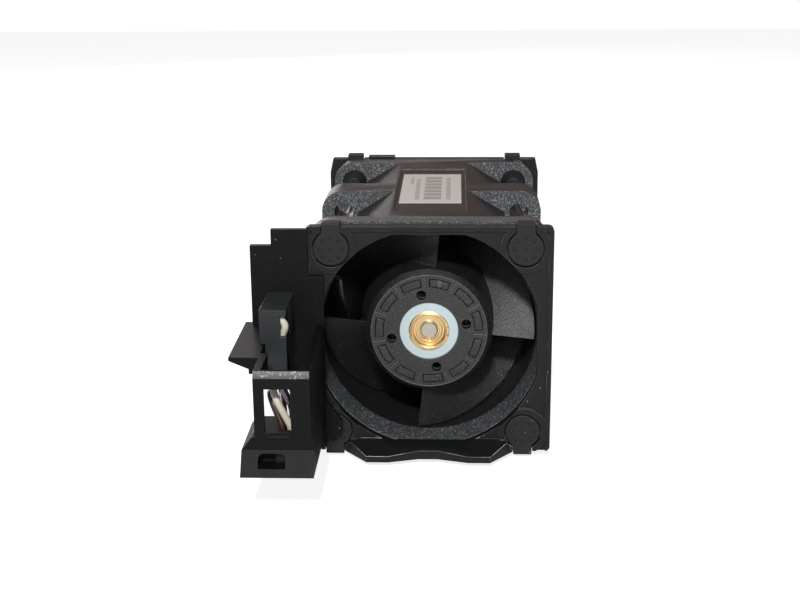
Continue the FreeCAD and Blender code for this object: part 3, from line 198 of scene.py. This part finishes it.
# ------------------------------------------------------------------ fan housings
# Two moulded halves of glass-filled PBT, each with square flanges at its ends, a
# faceted duct between them and the motor base on its struts. The mould is spark
# eroded outside, so flat faces look granular, with painted glints; edges are painted
# paler, partly as wear from handling and partly as a painted highlight.
CLOUD_MM, MOTE_MM, DUST = 5.0, 2.6, "#B9B4AA"
MOTE_CORE, MOTE_RIM = 0.035, 0.055
ROUGHNESS_STRAY = 0.06


def mixed(tree, share, first, second, blend="MIX"):
    """Two colours mixed by a share; each of the three is a value or (node, output)."""
    node = add_node(tree, "ShaderNodeMix", (), {"data_type": "RGBA", "blend_type": blend})
    for socket, given in ((0, share), (6, first), (7, second)):
        if isinstance(given, tuple):
            tree.links.new(given[0].outputs[given[1]], node.inputs[socket])
        else:
            node.inputs[socket].default_value = given
    return node, 2


def moulded(name, colour, grain_mm, relief_mm, roughness, glint="#FFFFFF", glints=0.0,
            blotch=0.0, specular=0.5, dust=0.0, patchy=False):
    """Moulded plastic or rubber with the texture of its mould and a little dust.

    The grain is drawn several times coarser than the real one, so that it still shows
    from the camera as a dull skin, faintly glittering with painted glints.
    """
    made = bpy.data.materials.new(name)
    made.use_nodes = True
    tree = made.node_tree
    tree.nodes.clear()
    place = add_node(tree, "ShaderNodeTexCoord")
    grain = add_node(tree, "ShaderNodeTexNoise", [(place, "Object", "Vector")],
                     Scale=1.0 / (grain_mm * MM), Detail=2.0, Roughness=0.6)
    cloud = add_node(tree, "ShaderNodeTexNoise", [(place, "Object", "Vector")],
                     Scale=1.0 / (CLOUD_MM * MM), Detail=3.0, Roughness=0.55)
    # The peaks of the grain are painted as paler points, painted glints. On a patchy edge
    # the paler colour, partly wear and partly a painted highlight, comes and goes every
    # few millimetres instead.
    source, start, end = (cloud, 0.46, 0.60) if patchy else (grain, 0.54, 0.74)
    shown = add_node(tree, "ShaderNodeMapRange", [(source, 0, "Value")],
                     From_Min=start, From_Max=end, To_Max=glints)
    tone = mixed(tree, (shown, 0), linear(colour), linear(glint))
    worn = mixed(tree, blotch, tone, (cloud, "Color"), "MULTIPLY")
    # Dust lies as pale specks a few millimetres apart.
    motes = add_node(tree, "ShaderNodeTexVoronoi", [(place, "Object", "Vector")],
                     Scale=1.0 / (MOTE_MM * MM))
    speck = add_node(tree, "ShaderNodeMapRange", [(motes, "Distance", "Value")],
                     From_Min=MOTE_CORE, From_Max=MOTE_RIM, To_Min=dust, To_Max=0.0)
    dusty = mixed(tree, (speck, 0), worn, linear(DUST))
    rough = add_node(tree, "ShaderNodeMapRange", [(cloud, 0, "Value")],
                     To_Min=roughness - ROUGHNESS_STRAY, To_Max=roughness + ROUGHNESS_STRAY)
    bump = add_node(tree, "ShaderNodeBump", [(grain, 0, "Height")], Distance=relief_mm * MM,
                    Strength=1.0)
    skin = add_node(tree, "ShaderNodeBsdfPrincipled",
                    [(*dusty, "Base Color"), (rough, 0, "Roughness"), (bump, 0, "Normal")],
                    Specular_IOR_Level=specular)
    add_node(tree, "ShaderNodeOutputMaterial", [(skin, 0, "Surface")])
    return made


def dress(piece, *made):
    """Give a piece its materials."""
    piece.data.materials.clear()
    for one in made:
        piece.data.materials.append(one)


def merged_copy(node, made_name):
    """A copy of a CAD piece with its loose triangles joined into a proper skin."""
    bpy.ops.object.select_all(action="DESELECT")
    piece = cad[node].copy()
    piece.data = cad[node].data.copy()
    piece.name = made_name
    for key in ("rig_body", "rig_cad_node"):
        if key in piece:
            del piece[key]
    piece.parent = None
    bpy.context.scene.collection.objects.link(piece)
    piece.select_set(True)
    bpy.context.view_layer.objects.active = piece
    bpy.ops.object.mode_set(mode="EDIT")
    bpy.ops.mesh.select_all(action="SELECT")
    bpy.ops.mesh.remove_doubles(threshold=0.002 * MM)
    bpy.ops.object.mode_set(mode="OBJECT")
    return piece


EDGE_TURN, SMOOTH_TURN = math.radians(32), math.radians(40)


def soften(node, width_mm, body, made, edge_wear_and_highlight, detail=None, quarters=True):
    """A copy of a CAD piece standing for it; its rounded edges show wear and a painted highlight.

    Where a piece has finer detail, a function given as detail adds it.
    """
    piece = merged_copy(node, node + "_finished")
    # Flat faces are made whole, a quarter at a time where one could run round an opening.
    for left, low in ((True, True), (True, False), (False, True), (False, False)):
        bpy.ops.object.mode_set(mode="EDIT")
        bpy.ops.mesh.select_mode(type="FACE")
        bpy.ops.mesh.select_all(action="DESELECT")
        bpy.ops.object.mode_set(mode="OBJECT")
        for face in piece.data.polygons:
            here = (face.center.x < 0) == left and (face.center.z < 0) == low
            face.select = here or not quarters
        bpy.ops.object.mode_set(mode="EDIT")
        bpy.ops.mesh.dissolve_limited(angle_limit=math.radians(1.0))
        bpy.ops.mesh.select_mode(type="VERT")
        bpy.ops.object.mode_set(mode="OBJECT")
    dress(piece, made, edge_wear_and_highlight)
    rounding = piece.modifiers.new("rounding", "BEVEL")
    rounding.width = width_mm * MM
    rounding.segments = 2
    rounding.limit_method = "ANGLE"
    rounding.angle_limit = EDGE_TURN
    rounding.use_clamp_overlap = True
    rounding.material = 1
    bpy.ops.object.modifier_apply(modifier="rounding")
    if detail:
        detail(piece)
    bpy.ops.object.shade_smooth_by_angle(angle=SMOOTH_TURN)
    flats = piece.modifiers.new("flats", "WEIGHTED_NORMAL")
    flats.keep_sharp = True
    bpy.ops.object.modifier_apply(modifier="flats")
    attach(piece, body)
    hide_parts(node)
    return piece


# Fine black skin; edges painted grey in patches, partly as wear and partly as a painted
# highlight; and the coarse finish of the flanges and the bell mouth, paler grey and
# glittering with painted glints.
pbt = moulded("fine_eroded_black_pbt", "#17181A", 0.22, 0.040, 0.55, "#85898E", 0.15, 0.3,
              0.4, 0.35)
pbt_edge = moulded("pbt_edge_wear_and_painted_highlight", "#66635F", 0.20, 0.050, 0.42, "#DADCDE", 0.60, 0.2, 0.6,
                   patchy=True)
coarse_pbt = moulded("coarse_eroded_pbt_with_painted_glints", "#3C4044", 0.27, 0.110, 0.50, "#C8CED4", 0.72, 0.2,
                     0.6, 0.35)
# How deep the bell mouth and an end flange go, and how far out flanges and tops begin.
BELL_MM, FLANGE_MM, DUCT_MM, TOP_MM = 5.0, 3.6, 18.0, 19.0
split_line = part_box("inlet_fan_housing")[1].y


def roughen(piece):
    """Give the coarse finish to the flanges' faces, the end flanges' tops and the bell mouth."""
    piece.data.materials.append(coarse_pbt)
    lows = [min(v.co[axis] for v in piece.data.vertices) for axis in range(3)]
    highs = [max(v.co[axis] for v in piece.data.vertices) for axis in range(3)]
    for face in piece.data.polygons:
        spot, way = face.center, face.normal
        flange = abs(way.y) > 0.9 and Vector((spot.x, 0, spot.z)).length > DUCT_MM * MM
        inward = Vector((spot.x, 0, spot.z)).dot(way) < 0
        mouth = inward and min(spot.y - lows[1], highs[1] - spot.y) < BELL_MM * MM
        end_top = way.z > 0.9 and abs(spot.y - split_line) > highs[1] - lows[1] - FLANGE_MM * MM
        if face.material_index == 0 and (flange or mouth or end_top and spot.z > TOP_MM * MM):
            face.material_index = 2


for half in HALVES:
    soften(f"{half}_fan_housing", 0.20, "module", pbt, pbt_edge, roughen)


# ------------------------------------------------------------------ impellers
# Moulded hub and blades in one piece over a steel cup. The hub face has eleven balance
# pockets and four holes; one pocket holds a dab of putty.
# Deep black skin that glitters where the lamp grazes it, with a few painted glints;
# blade edges and beads painted grey, partly as wear and partly as a painted highlight;
# and the corners of the pockets, a trench round each floor, painted near-black as
# painted shade.
blade_pbt = moulded("fine_textured_black_pbt", "#0B0C0D", 0.24, 0.110, 0.48, "#B4B6BB", 0.15, 0.3,
                    0.80, 0.4)
blade_edge = moulded("blade_edge_wear_and_painted_highlight", "#8C8C8A", 0.18, 0.030, 0.40, "#F0EEE8", 0.60, 0.3, 0.6)
bead_pbt = moulded("bead_pbt_wear_and_painted_highlight", "#4C4D4E", 0.20, 0.030, 0.45, "#B8B8B6", 0.40, 0.3, 0.5)
pocket_shade = moulded("painted_shade_pocket_trench", "#060607", 0.20, 0.010, 0.80, specular=0.1)
TRENCH_MM, PAD_MM = 0.20, 0.26
# A pocket's floor is known among the hub's faces by its distance from the axis and area.
FLOOR_FROM_MM, FLOOR_TO_MM, FLOOR_LEAST_MM2, FLOOR_MOST_MM2 = 7.9, 9.2, 3.0, 6.5


def select_none():
    """Leave nothing of the active piece's mesh selected."""
    bpy.ops.object.mode_set(mode="EDIT")
    bpy.ops.mesh.select_all(action="DESELECT")
    bpy.ops.object.mode_set(mode="OBJECT")


def sink_trenches(piece):
    """Round each balance pocket's floor run a narrow trench, its pad standing higher."""
    piece.data.materials.append(pocket_shade)
    select_none()
    faces_out = 0.0
    for face in piece.data.polygons:
        from_axis = Vector((face.center.x, 0, face.center.z)).length / MM
        area = face.area / MM ** 2
        placed = FLOOR_FROM_MM < from_axis < FLOOR_TO_MM
        sized = FLOOR_LEAST_MM2 < area < FLOOR_MOST_MM2
        if abs(face.normal.y) > 0.99 and placed and sized:
            face.select = True
            face.material_index = 2
            faces_out = face.normal.y
    bpy.ops.object.mode_set(mode="EDIT")
    bpy.ops.mesh.inset(thickness=TRENCH_MM * MM, depth=0, use_individual=True)
    bpy.ops.transform.translate(value=(0, faces_out * PAD_MM * MM, 0))
    bpy.ops.object.mode_set(mode="OBJECT")
    # The trench keeps the near-black material as painted shade; the raised pad gets the plain skin
    # back.
    for face in piece.data.polygons:
        if face.select:
            face.material_index = 0


for half in HALVES:
    soften(f"{half}_impeller", 0.12, f"{half}_rotor", blade_pbt, blade_edge,
           sink_trenches, quarters=False)

# A low bead runs round the hub's face, with a rib between each two pockets, and both are
# painted pale, partly as wear and partly as a painted highlight.
POCKETS, FIRST_POCKET = 11, math.radians(12.5)
BEAD_RADIUS, RIB_FROM, BEAD_HALF, BEAD_FLATTENED = 9.90, 7.70, 0.10, 0.6
RIB_MIDDLE = (BEAD_RADIUS + RIB_FROM) / 2


def joined(pieces, name):
    """Several new pieces made into one, named, with its place and turn applied."""
    bpy.ops.object.select_all(action="DESELECT")
    for one in pieces:
        one.select_set(True)
    bpy.context.view_layer.objects.active = pieces[0]
    bpy.ops.object.join()
    bpy.ops.object.transform_apply(location=True, rotation=True, scale=True)
    whole = bpy.context.object
    whole.name = name
    return whole


for half in HALVES:
    low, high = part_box(f"{half}_rotor_bush")
    face_y = low.y if half == "inlet" else high.y
    bpy.ops.object.select_all(action="DESELECT")
    bpy.ops.mesh.primitive_torus_add(major_segments=96, minor_segments=8, location=(0, face_y, 0),
                                     rotation=(math.pi / 2, 0, 0), major_radius=BEAD_RADIUS * MM,
                                     minor_radius=BEAD_HALF * MM)
    bead = bpy.context.object
    ribs = []
    for number in range(POCKETS):
        angle = FIRST_POCKET + (number + 0.5) * 2 * math.pi / POCKETS
        bpy.ops.mesh.primitive_cylinder_add(
            vertices=8, radius=BEAD_HALF * MM, depth=(BEAD_RADIUS - RIB_FROM) * MM,
            location=(RIB_MIDDLE * math.cos(angle) * MM, face_y, RIB_MIDDLE * math.sin(angle) * MM),
            rotation=(0, math.pi / 2 - angle, 0))
        ribs.append(bpy.context.object)
    bead = joined([bead] + ribs, f"{half}_hub_beads")
    bpy.ops.object.mode_set(mode="EDIT")
    bpy.ops.mesh.select_all(action="SELECT")
    bpy.ops.transform.resize(value=(1, BEAD_FLATTENED, 1), center_override=(0, face_y, 0))
    bpy.ops.object.mode_set(mode="OBJECT")
    bpy.ops.object.shade_smooth_by_angle(angle=math.radians(50))
    dress(bead, bead_pbt)
    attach(bead, f"{half}_rotor")

# Dull grey-brown, without the glitter of the plastic round it.
putty = moulded("grey_brown_epoxy_putty", "#5A5148", 0.25, 0.03, 0.75)
dress(cad["balance_putty"], putty)


# ------------------------------------------------------------------ steel cups and shafts
# Deep-drawn zinc-plated cup whose flat face shows in the window of the hub, with a
# turned brass bush pressed into it round a ground steel shaft.
METAL_STRAY, SMOOTHEST = 0.07, 0.02
# The wave texture's wavelength where its scale is 1.
WAVELENGTH = 0.314


def metal(name, colour, tint, roughness, grain_mm, relief_mm, turned=False):
    """Bare or plated metal; turned metal has fine rings round the axis of the fan.

    The rings are drawn coarser than a real tool leaves them, so that they show.
    """
    made = bpy.data.materials.new(name)
    made.use_nodes = True
    tree = made.node_tree
    tree.nodes.clear()
    place = add_node(tree, "ShaderNodeTexCoord")
    if turned:
        flat = add_node(tree, "ShaderNodeMapping", [(place, "Object", "Vector")], Scale=(1, 0, 1))
        marks = add_node(tree, "ShaderNodeTexWave", [(flat, 0, "Vector")],
                         {"wave_type": "RINGS", "rings_direction": "SPHERICAL"},
                         Scale=WAVELENGTH / (grain_mm * MM), Distortion=0.4, Detail=1.0)
    else:
        marks = add_node(tree, "ShaderNodeTexNoise", [(place, "Object", "Vector")],
                         Scale=1.0 / (grain_mm * MM), Detail=2.0)
    rough = add_node(tree, "ShaderNodeMapRange", [(marks, "Fac", "Value")],
                     To_Min=max(SMOOTHEST, roughness - METAL_STRAY),
                     To_Max=roughness + METAL_STRAY)
    tone = mixed(tree, (marks, "Fac"), linear(tint), linear(colour))
    bump = add_node(tree, "ShaderNodeBump", [(marks, "Fac", "Height")], Distance=relief_mm * MM)
    skin = add_node(tree, "ShaderNodeBsdfPrincipled",
                    [(*tone, "Base Color"), (rough, 0, "Roughness"), (bump, 0, "Normal")],
                    Metallic=1.0)
    add_node(tree, "ShaderNodeOutputMaterial", [(skin, 0, "Surface")])
    return made


# A soft bluish shine on the cup, pale gold rings on the bush, and a greyer shaft.
zinc = metal("bright_zinc_plated_steel", "#DCEAEF", "#C8DADF", 0.45, 0.4, 0.002)
brass = metal("turned_free_cutting_brass", "#FFE8B8", "#E6C086", 0.30, 0.20, 0.006, turned=True)
ground = metal("ground_bearing_steel", "#D6CFC4", "#BFB8AD", 0.36, 0.15, 0.003, turned=True)

# Bush profile from the bore outwards: radius, and distance behind the front face.
BUSH = ((1.52, 1.15), (1.74, 1.15), (1.82, 0.95), (2.00, 0.95), (2.00, 0.68), (2.18, 0.68),
        (2.24, 0.58), (2.32, 0.66), (2.56, 0.66), (2.64, 0.40), (2.80, 0.04), (2.94, 0.00),
        (3.00, 0.07), (3.06, 0.00), (3.30, 0.03), (3.44, 0.09), (3.50, 0.20), (3.50, 4.95),
        (1.52, 4.95))
# Two staking marks on the bush's rim: how far out they start, half their width, their
# depth, and how far behind the front face the rim is taken to reach.
STAKE_FROM_MM, STAKE_HALF_MM, STAKE_DEPTH_MM, RIM_MM = 2.97, 0.68, 0.28, 0.3
for half in HALVES:
    low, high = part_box(f"{half}_rotor_bush")
    face_y, way = (low.y, 1) if half == "inlet" else (high.y, -1)
    bpy.ops.object.select_all(action="DESELECT")
    radius, depth = BUSH[0]
    bpy.ops.mesh.primitive_circle_add(vertices=96, radius=radius * MM, rotation=(math.pi / 2, 0, 0),
                                      location=(0, face_y + way * depth * MM, 0))
    bush = bpy.context.object
    bush.name = f"{half}_bush_turned"
    bpy.ops.object.transform_apply(location=True, rotation=True, scale=True)
    bpy.ops.object.mode_set(mode="EDIT")
    bpy.ops.mesh.select_all(action="SELECT")
    for (before_r, before_y), (next_r, next_y) in zip(BUSH, BUSH[1:] + BUSH[:1]):
        bpy.ops.mesh.extrude_edges_move()
        bpy.ops.transform.translate(value=(0, way * (next_y - before_y) * MM, 0))
        grow = next_r / before_r
        bpy.ops.transform.resize(value=(grow, 1, grow), center_override=(0, 0, 0))
    bpy.ops.mesh.select_all(action="SELECT")
    bpy.ops.mesh.remove_doubles(threshold=0.001 * MM)
    bpy.ops.mesh.normals_make_consistent(inside=False)
    bpy.ops.object.mode_set(mode="OBJECT")
    for vertex in bush.data.vertices:
        x, y, z = vertex.co / MM
        on_rim = abs(x) > STAKE_FROM_MM and abs(y - face_y / MM) < RIM_MM
        if on_rim and abs(z) < STAKE_HALF_MM:
            vertex.co.y += way * STAKE_DEPTH_MM * MM
    bpy.ops.object.shade_smooth_by_angle(angle=math.radians(35))
    dress(bush, brass)
    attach(bush, f"{half}_rotor")
    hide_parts(f"{half}_rotor_bush")
    dress(cad[f"{half}_rotor_yoke"], zinc)
    dress(cad[f"{half}_bearing_tube"], brass)
    for steel in ("shaft", "shaft_clip", "preload_washer", "bearings"):
        dress(cad[f"{half}_{steel}"], ground)


# ------------------------------------------------------------------ motor insides
# Sintered ferrite ring, stamped laminations, nylon formers, enamelled copper and a
# small green board, all out of sight behind the rotor, in the plain colours of each.
ferrite = moulded("sintered_ferrite", "#2A2A2C", 0.2, 0.01, 0.6)
sheet_steel = metal("stamped_electrical_steel", "#8C8C90", "#7A7A7E", 0.42, 0.5, 0.004)
nylon = moulded("natural_nylon", "#D9D2B8", 0.3, 0.01, 0.45)
copper = metal("enamelled_copper_wire", "#5E3018", "#3A1E12", 0.40, 0.25, 0.03)
mask = moulded("green_solder_mask", "#12482B", 0.4, 0.006, 0.3)
for half in HALVES:
    dress(cad[f"{half}_rotor_magnet"], ferrite)
    dress(cad[f"{half}_stator_core"], sheet_steel)
    dress(cad[f"{half}_coil_formers"], nylon)
    dress(cad[f"{half}_stator_coils"], copper)
    dress(cad[f"{half}_circuit_board"], mask)


# ------------------------------------------------------------------ label
# Matt white paper label stuck across both halves, in their recesses on top. Its print
# is a plain ladder of equal brown-grey bars among three bands of broken lines, which
# say nothing.
low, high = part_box("fan_label")
centre = (low + high) / 2
printed = bpy.data.materials.new("printed_matt_label_paper")
printed.use_nodes = True
tree = printed.node_tree
tree.nodes.clear()
place = add_node(tree, "ShaderNodeTexCoord")
middle = add_node(tree, "ShaderNodeMapping", [(place, "Object", "Vector")],
                  Location=(-centre.x / MM, -centre.y / MM, 0), Scale=(1 / MM, 1 / MM, 1 / MM))
axes = add_node(tree, "ShaderNodeSeparateXYZ", [(middle, 0, "Vector")])


def within(axis, centre_mm, half_mm):
    """1 where a place is within half_mm of a line across an axis, else 0."""
    near = add_node(tree, "ShaderNodeMath", [(axes, axis, 0)], {"operation": "COMPARE"})
    near.inputs[1].default_value = centre_mm
    near.inputs[2].default_value = half_mm
    return near


def times(*factors):
    """The product of some masks."""
    whole = factors[0]
    for factor in factors[1:]:
        whole = add_node(tree, "ShaderNodeMath", [(whole, 0, 0), (factor, 0, 1)],
                         {"operation": "MULTIPLY"})
    return whole


def stripes(axis, pitch_mm, share):
    """Even stripes across one axis."""
    turn = add_node(tree, "ShaderNodeMath", [(axes, axis, 0)], {"operation": "PINGPONG"})
    turn.inputs[1].default_value = pitch_mm / 2
    inked = add_node(tree, "ShaderNodeMath", [(turn, 0, 0)], {"operation": "LESS_THAN"})
    inked.inputs[1].default_value = pitch_mm / 2 * share
    return inked


block = times(within("X", 0.35, 1.55), within("Y", 0.0, 10.4))
rungs = times(block, stripes("Y", 3.0, 0.5))
ladder = add_node(tree, "ShaderNodeMath", [(block, 0, 0)], {"operation": "MULTIPLY"})
ladder.inputs[1].default_value = 0.45
# Each band's middle and half width, middle and half length, and pitch of its dashes.
BANDS = ((-2.45, 0.40, -1.0, 9.2, 1.1), (-3.65, 0.30, 6.5, 3.4, 0.9),
         (3.15, 0.42, -0.5, 9.8, 0.9))
bands = [times(within("X", x, wide), within("Y", y, long), stripes("Y", pitch, 0.6))
         for x, wide, y, long, pitch in BANDS]
ink = ladder
for band in [rungs] + bands:
    ink = add_node(tree, "ShaderNodeMath", [(ink, 0, 0), (band, 0, 1)], {"operation": "MAXIMUM"})
fibre = add_node(tree, "ShaderNodeTexNoise", [(place, "Object", "Vector")],
                 Scale=1 / (0.5 * MM), Detail=3.0)
faded = add_node(tree, "ShaderNodeMapRange", [(fibre, 0, "Value")], To_Min=0.35, To_Max=0.70)
strength = times(ink, faded)
PAPER, INK = "#DED8D6", "#5A4A44"
inked = mixed(tree, (strength, 0), linear(PAPER), linear(INK))
bump = add_node(tree, "ShaderNodeBump", [(fibre, 0, "Height")], Distance=0.004 * MM)
skin = add_node(tree, "ShaderNodeBsdfPrincipled", [(*inked, "Base Color"), (bump, 0, "Normal")],
                Roughness=0.62)
add_node(tree, "ShaderNodeOutputMaterial", [(skin, 0, "Surface")])
dress(cad["fan_label"], printed)


# ------------------------------------------------------------------ isolators
# Moulded silicone rivets that carry the fan in its frames: a neck sits in the frame's
# keyhole and a bulb behind the fan's flange. Each outer disc shows a ring of eight low
# domes round a ninth.
# An isolator's place across and up, its ring of domes, and a dome's radius, flattening
# and the part of it below the disc's face.
HOLE_MM, DOME_RING_MM, DOME_MM, DOME_FLATTENED, DOME_SUNK_MM = 16.0, 1.9, 0.34, 0.55, 0.06

# Dull black, a little greyer on the rims, partly as wear and partly as a painted
# highlight.
rubber = moulded("matt_black_silicone_rubber", "#1D1E20", 0.35, 0.012, 0.62, "#55585C", 0.1, 0.2,
                 0.35, 0.4)
rubber_edge = moulded("silicone_edge_wear_and_painted_highlight", "#232427", 0.35, 0.012, 0.58, "#5C5F63", 0.15, 0.2,
                      0.4)
for end, side in (("front", -1), ("rear", 1)):
    soften(f"{end}_isolators", 0.14, "module", rubber, rubber_edge)
    low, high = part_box(f"{end}_isolators")
    face = low.y if side < 0 else high.y
    bpy.ops.object.select_all(action="DESELECT")
    bpy.ops.mesh.primitive_uv_sphere_add(segments=12, ring_count=8, radius=DOME_MM * MM)
    dot = bpy.context.object
    bpy.ops.object.mode_set(mode="EDIT")
    bpy.ops.mesh.select_all(action="SELECT")
    bpy.ops.mesh.bisect(plane_co=(0, DOME_SUNK_MM * MM * -side, 0), plane_no=(0, side, 0),
                        clear_inner=True, use_fill=True)
    bpy.ops.mesh.select_all(action="SELECT")
    bpy.ops.transform.resize(value=(1, DOME_FLATTENED, 1), center_override=(0, 0, 0))
    bpy.ops.object.mode_set(mode="OBJECT")
    places = []
    for x in (-HOLE_MM, HOLE_MM):
        for z in (-HOLE_MM, HOLE_MM):
            places.append((x, z))
            for turn in range(8):
                angle = turn * math.pi / 4
                places.append((x + DOME_RING_MM * math.cos(angle),
                               z + DOME_RING_MM * math.sin(angle)))
    dots = []
    for x, z in places:
        one = dot.copy()
        one.data = dot.data.copy()
        one.location = (x * MM, face, z * MM)
        scene.collection.objects.link(one)
        dots.append(one)
    bpy.data.objects.remove(dot)
    dimples = joined(dots, f"{end}_isolator_dimples")
    bpy.ops.object.shade_smooth_by_angle(angle=math.radians(50))
    dress(dimples, rubber)
    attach(dimples, "module")


# ------------------------------------------------------------------ frames
# Front and rear frames moulded in black ABS, each held to the fan by the isolators that
# sit in its keyhole slots. The front one has the lip by which the module is pulled out.
# The lip is what lies below this height and within this distance of the middle.
LIP_TOP_MM, LIP_HALF_MM = -16.9, 15.0

# Fine and nearly black, with edges greyed in patches, partly as wear and partly as a
# painted highlight, and the lip's upward-facing edges painted nearly white in patches as
# a painted highlight.
abs_frame = moulded("fine_matt_black_abs", "#111213", 0.26, 0.020, 0.52, "#6B6D72", 0.08, 0.3,
                    0.32, 0.4)
abs_edge = moulded("abs_edge_wear_and_painted_highlight", "#2A2B2D", 0.22, 0.020, 0.42, "#A8A5A0", 0.40, 0.3, 0.5,
                   patchy=True)
lip_highlight = moulded("painted_highlight_abs_lip", "#6A6B6D", 0.22, 0.020, 0.42, "#F6F4F0", 0.95, 0.1, 0.6,
                   patchy=True)


def paint_lip_highlight(piece):
    """The finger lip's upper edges are painted nearly white in patches, a painted highlight."""
    piece.data.materials.append(lip_highlight)
    for face in piece.data.polygons:
        x, y, z = face.center / MM
        on_lip = z < LIP_TOP_MM and abs(x) < LIP_HALF_MM
        if face.material_index == 1 and on_lip and face.normal.z > 0.1:
            face.material_index = 2


soften("front_frame", 0.16, "module", abs_frame, abs_edge, detail=paint_lip_highlight)
soften("rear_frame", 0.12, "module", abs_frame, abs_edge)


# ------------------------------------------------------------------ connector bracket
# Bracket moulded in black ABS: plate, hollow tower, foot and wing. The bevel on the
# tower's mouth, where it faces up and forward, is painted near-white as a painted
# highlight.
MOUTH_FRONT_MM, MOUTH_LOW_MM, MOUTH_LEFT_MM = -24.4, 2.2, -25.7

# Black with a soft sheen, greyer at the edges, partly as wear and partly as a painted
# highlight, and a near-white painted highlight on the bevel at the mouth.
abs_bracket = moulded("satin_black_abs", "#0D0D0E", 0.36, 0.012, 0.55, "#5E6064", 0.05, 0.3,
                      0.16, 0.3)
bracket_edge = moulded("bracket_edge_wear_and_painted_highlight", "#1C1C1E", 0.30, 0.012, 0.45, "#77787B", 0.15, 0.3,
                       0.4)
mouth_highlight = moulded("painted_highlight_mouth_abs", "#5A5A5C", 0.42, 0.050, 0.50, "#D8D6DC", 0.75, 0.2, 0.5)
bracket = soften("connector_bracket", 0.13, "module", abs_bracket, bracket_edge)
bracket.data.materials.append(mouth_highlight)
# Bevel faces at the mouth that look up and forward get the painted highlight.
for face in bracket.data.polygons:
    x, y, z = face.center / MM
    at_mouth = y < MOUTH_FRONT_MM and z > MOUTH_LOW_MM and x > MOUTH_LEFT_MM
    if at_mouth and face.normal.z > 0.2 and face.normal.y < -0.2:
        face.material_index = 2


# ------------------------------------------------------------------ cable cover
# Cover moulded in dark grey nylon, over the leads where they turn down into the tower.
# Its front reaches into the tower, so that no lead shows under it.
SKIRT_MM, SKIRT_EDGE_MM = 0.8, 0.25

# Dark grey, smoother and lighter than the bracket beside it; its edges flecked paler,
# partly as wear and partly as a painted highlight.
cover = moulded("dark_grey_nylon", "#282C2F", 0.4, 0.014, 0.50, "#6E7478", 0.10, 0.3, 0.4, 0.3)
cover_edge = moulded("nylon_edge_wear_and_painted_highlight", "#262A2C", 0.4, 0.014, 0.46, "#787E82", 0.2, 0.3, 0.4)


def lower_skirt(piece):
    """The front of the cover reaches a little further into the tower."""
    select_none()
    lowest = min(v.co.z for v in piece.data.vertices)
    for vertex in piece.data.vertices:
        vertex.select = vertex.co.z < lowest + SKIRT_EDGE_MM * MM
    bpy.ops.object.mode_set(mode="EDIT")
    bpy.ops.transform.translate(value=(0, 0, -SKIRT_MM * MM))
    bpy.ops.object.mode_set(mode="OBJECT")


soften("cable_clip", 0.2, "module", cover, cover_edge, detail=lower_skirt)


# ------------------------------------------------------------------ plug
# Six-way plug in the bracket's foot, which drops onto a header of the system board:
# a black nylon housing, plainly moulded, and dull silvery tinned contacts.
plug_nylon = moulded("moulded_black_nylon", "#1A1616", 0.4, 0.006, 0.5)
soften("plug_housing", 0.08, "module", plug_nylon, plug_nylon)
dress(cad["plug_contacts"], metal("tinned_phosphor_bronze", "#CFCBC2", "#B9B4A9", 0.3, 0.3, 0.003))


# ------------------------------------------------------------------ leads
# Three leads from each motor to the plug: stranded copper in PVC insulation 1.1 mm
# across, extruded smooth. Rounding off a run thins it, so it is swollen a little first.
SWELL_MM = 0.035
for colour, code in {"black": "#151516", "grey": "#4E5052", "blue": "#16203E", "red": "#A01C1C",
                     "white": "#D9D2C4", "brown": "#3B2216"}.items():
    lead = merged_copy(f"{colour}_lead", f"{colour}_lead_sheath")
    bpy.ops.object.mode_set(mode="EDIT")
    bpy.ops.mesh.select_all(action="SELECT")
    bpy.ops.mesh.tris_convert_to_quads(face_threshold=math.radians(60),
                                       shape_threshold=math.radians(60))
    bpy.ops.transform.shrink_fatten(value=SWELL_MM * MM)
    bpy.ops.object.mode_set(mode="OBJECT")
    round_off = lead.modifiers.new("round_off", "SUBSURF")
    round_off.levels = round_off.render_levels = 1
    bpy.ops.object.modifier_apply(modifier="round_off")
    bpy.ops.object.shade_smooth_by_angle(angle=math.radians(60))
    dress(lead, moulded(f"{colour}_pvc_insulation", code, 0.5, 0.004, 0.40, blotch=0.2))
    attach(lead, "module")
    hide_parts(f"{colour}_lead")
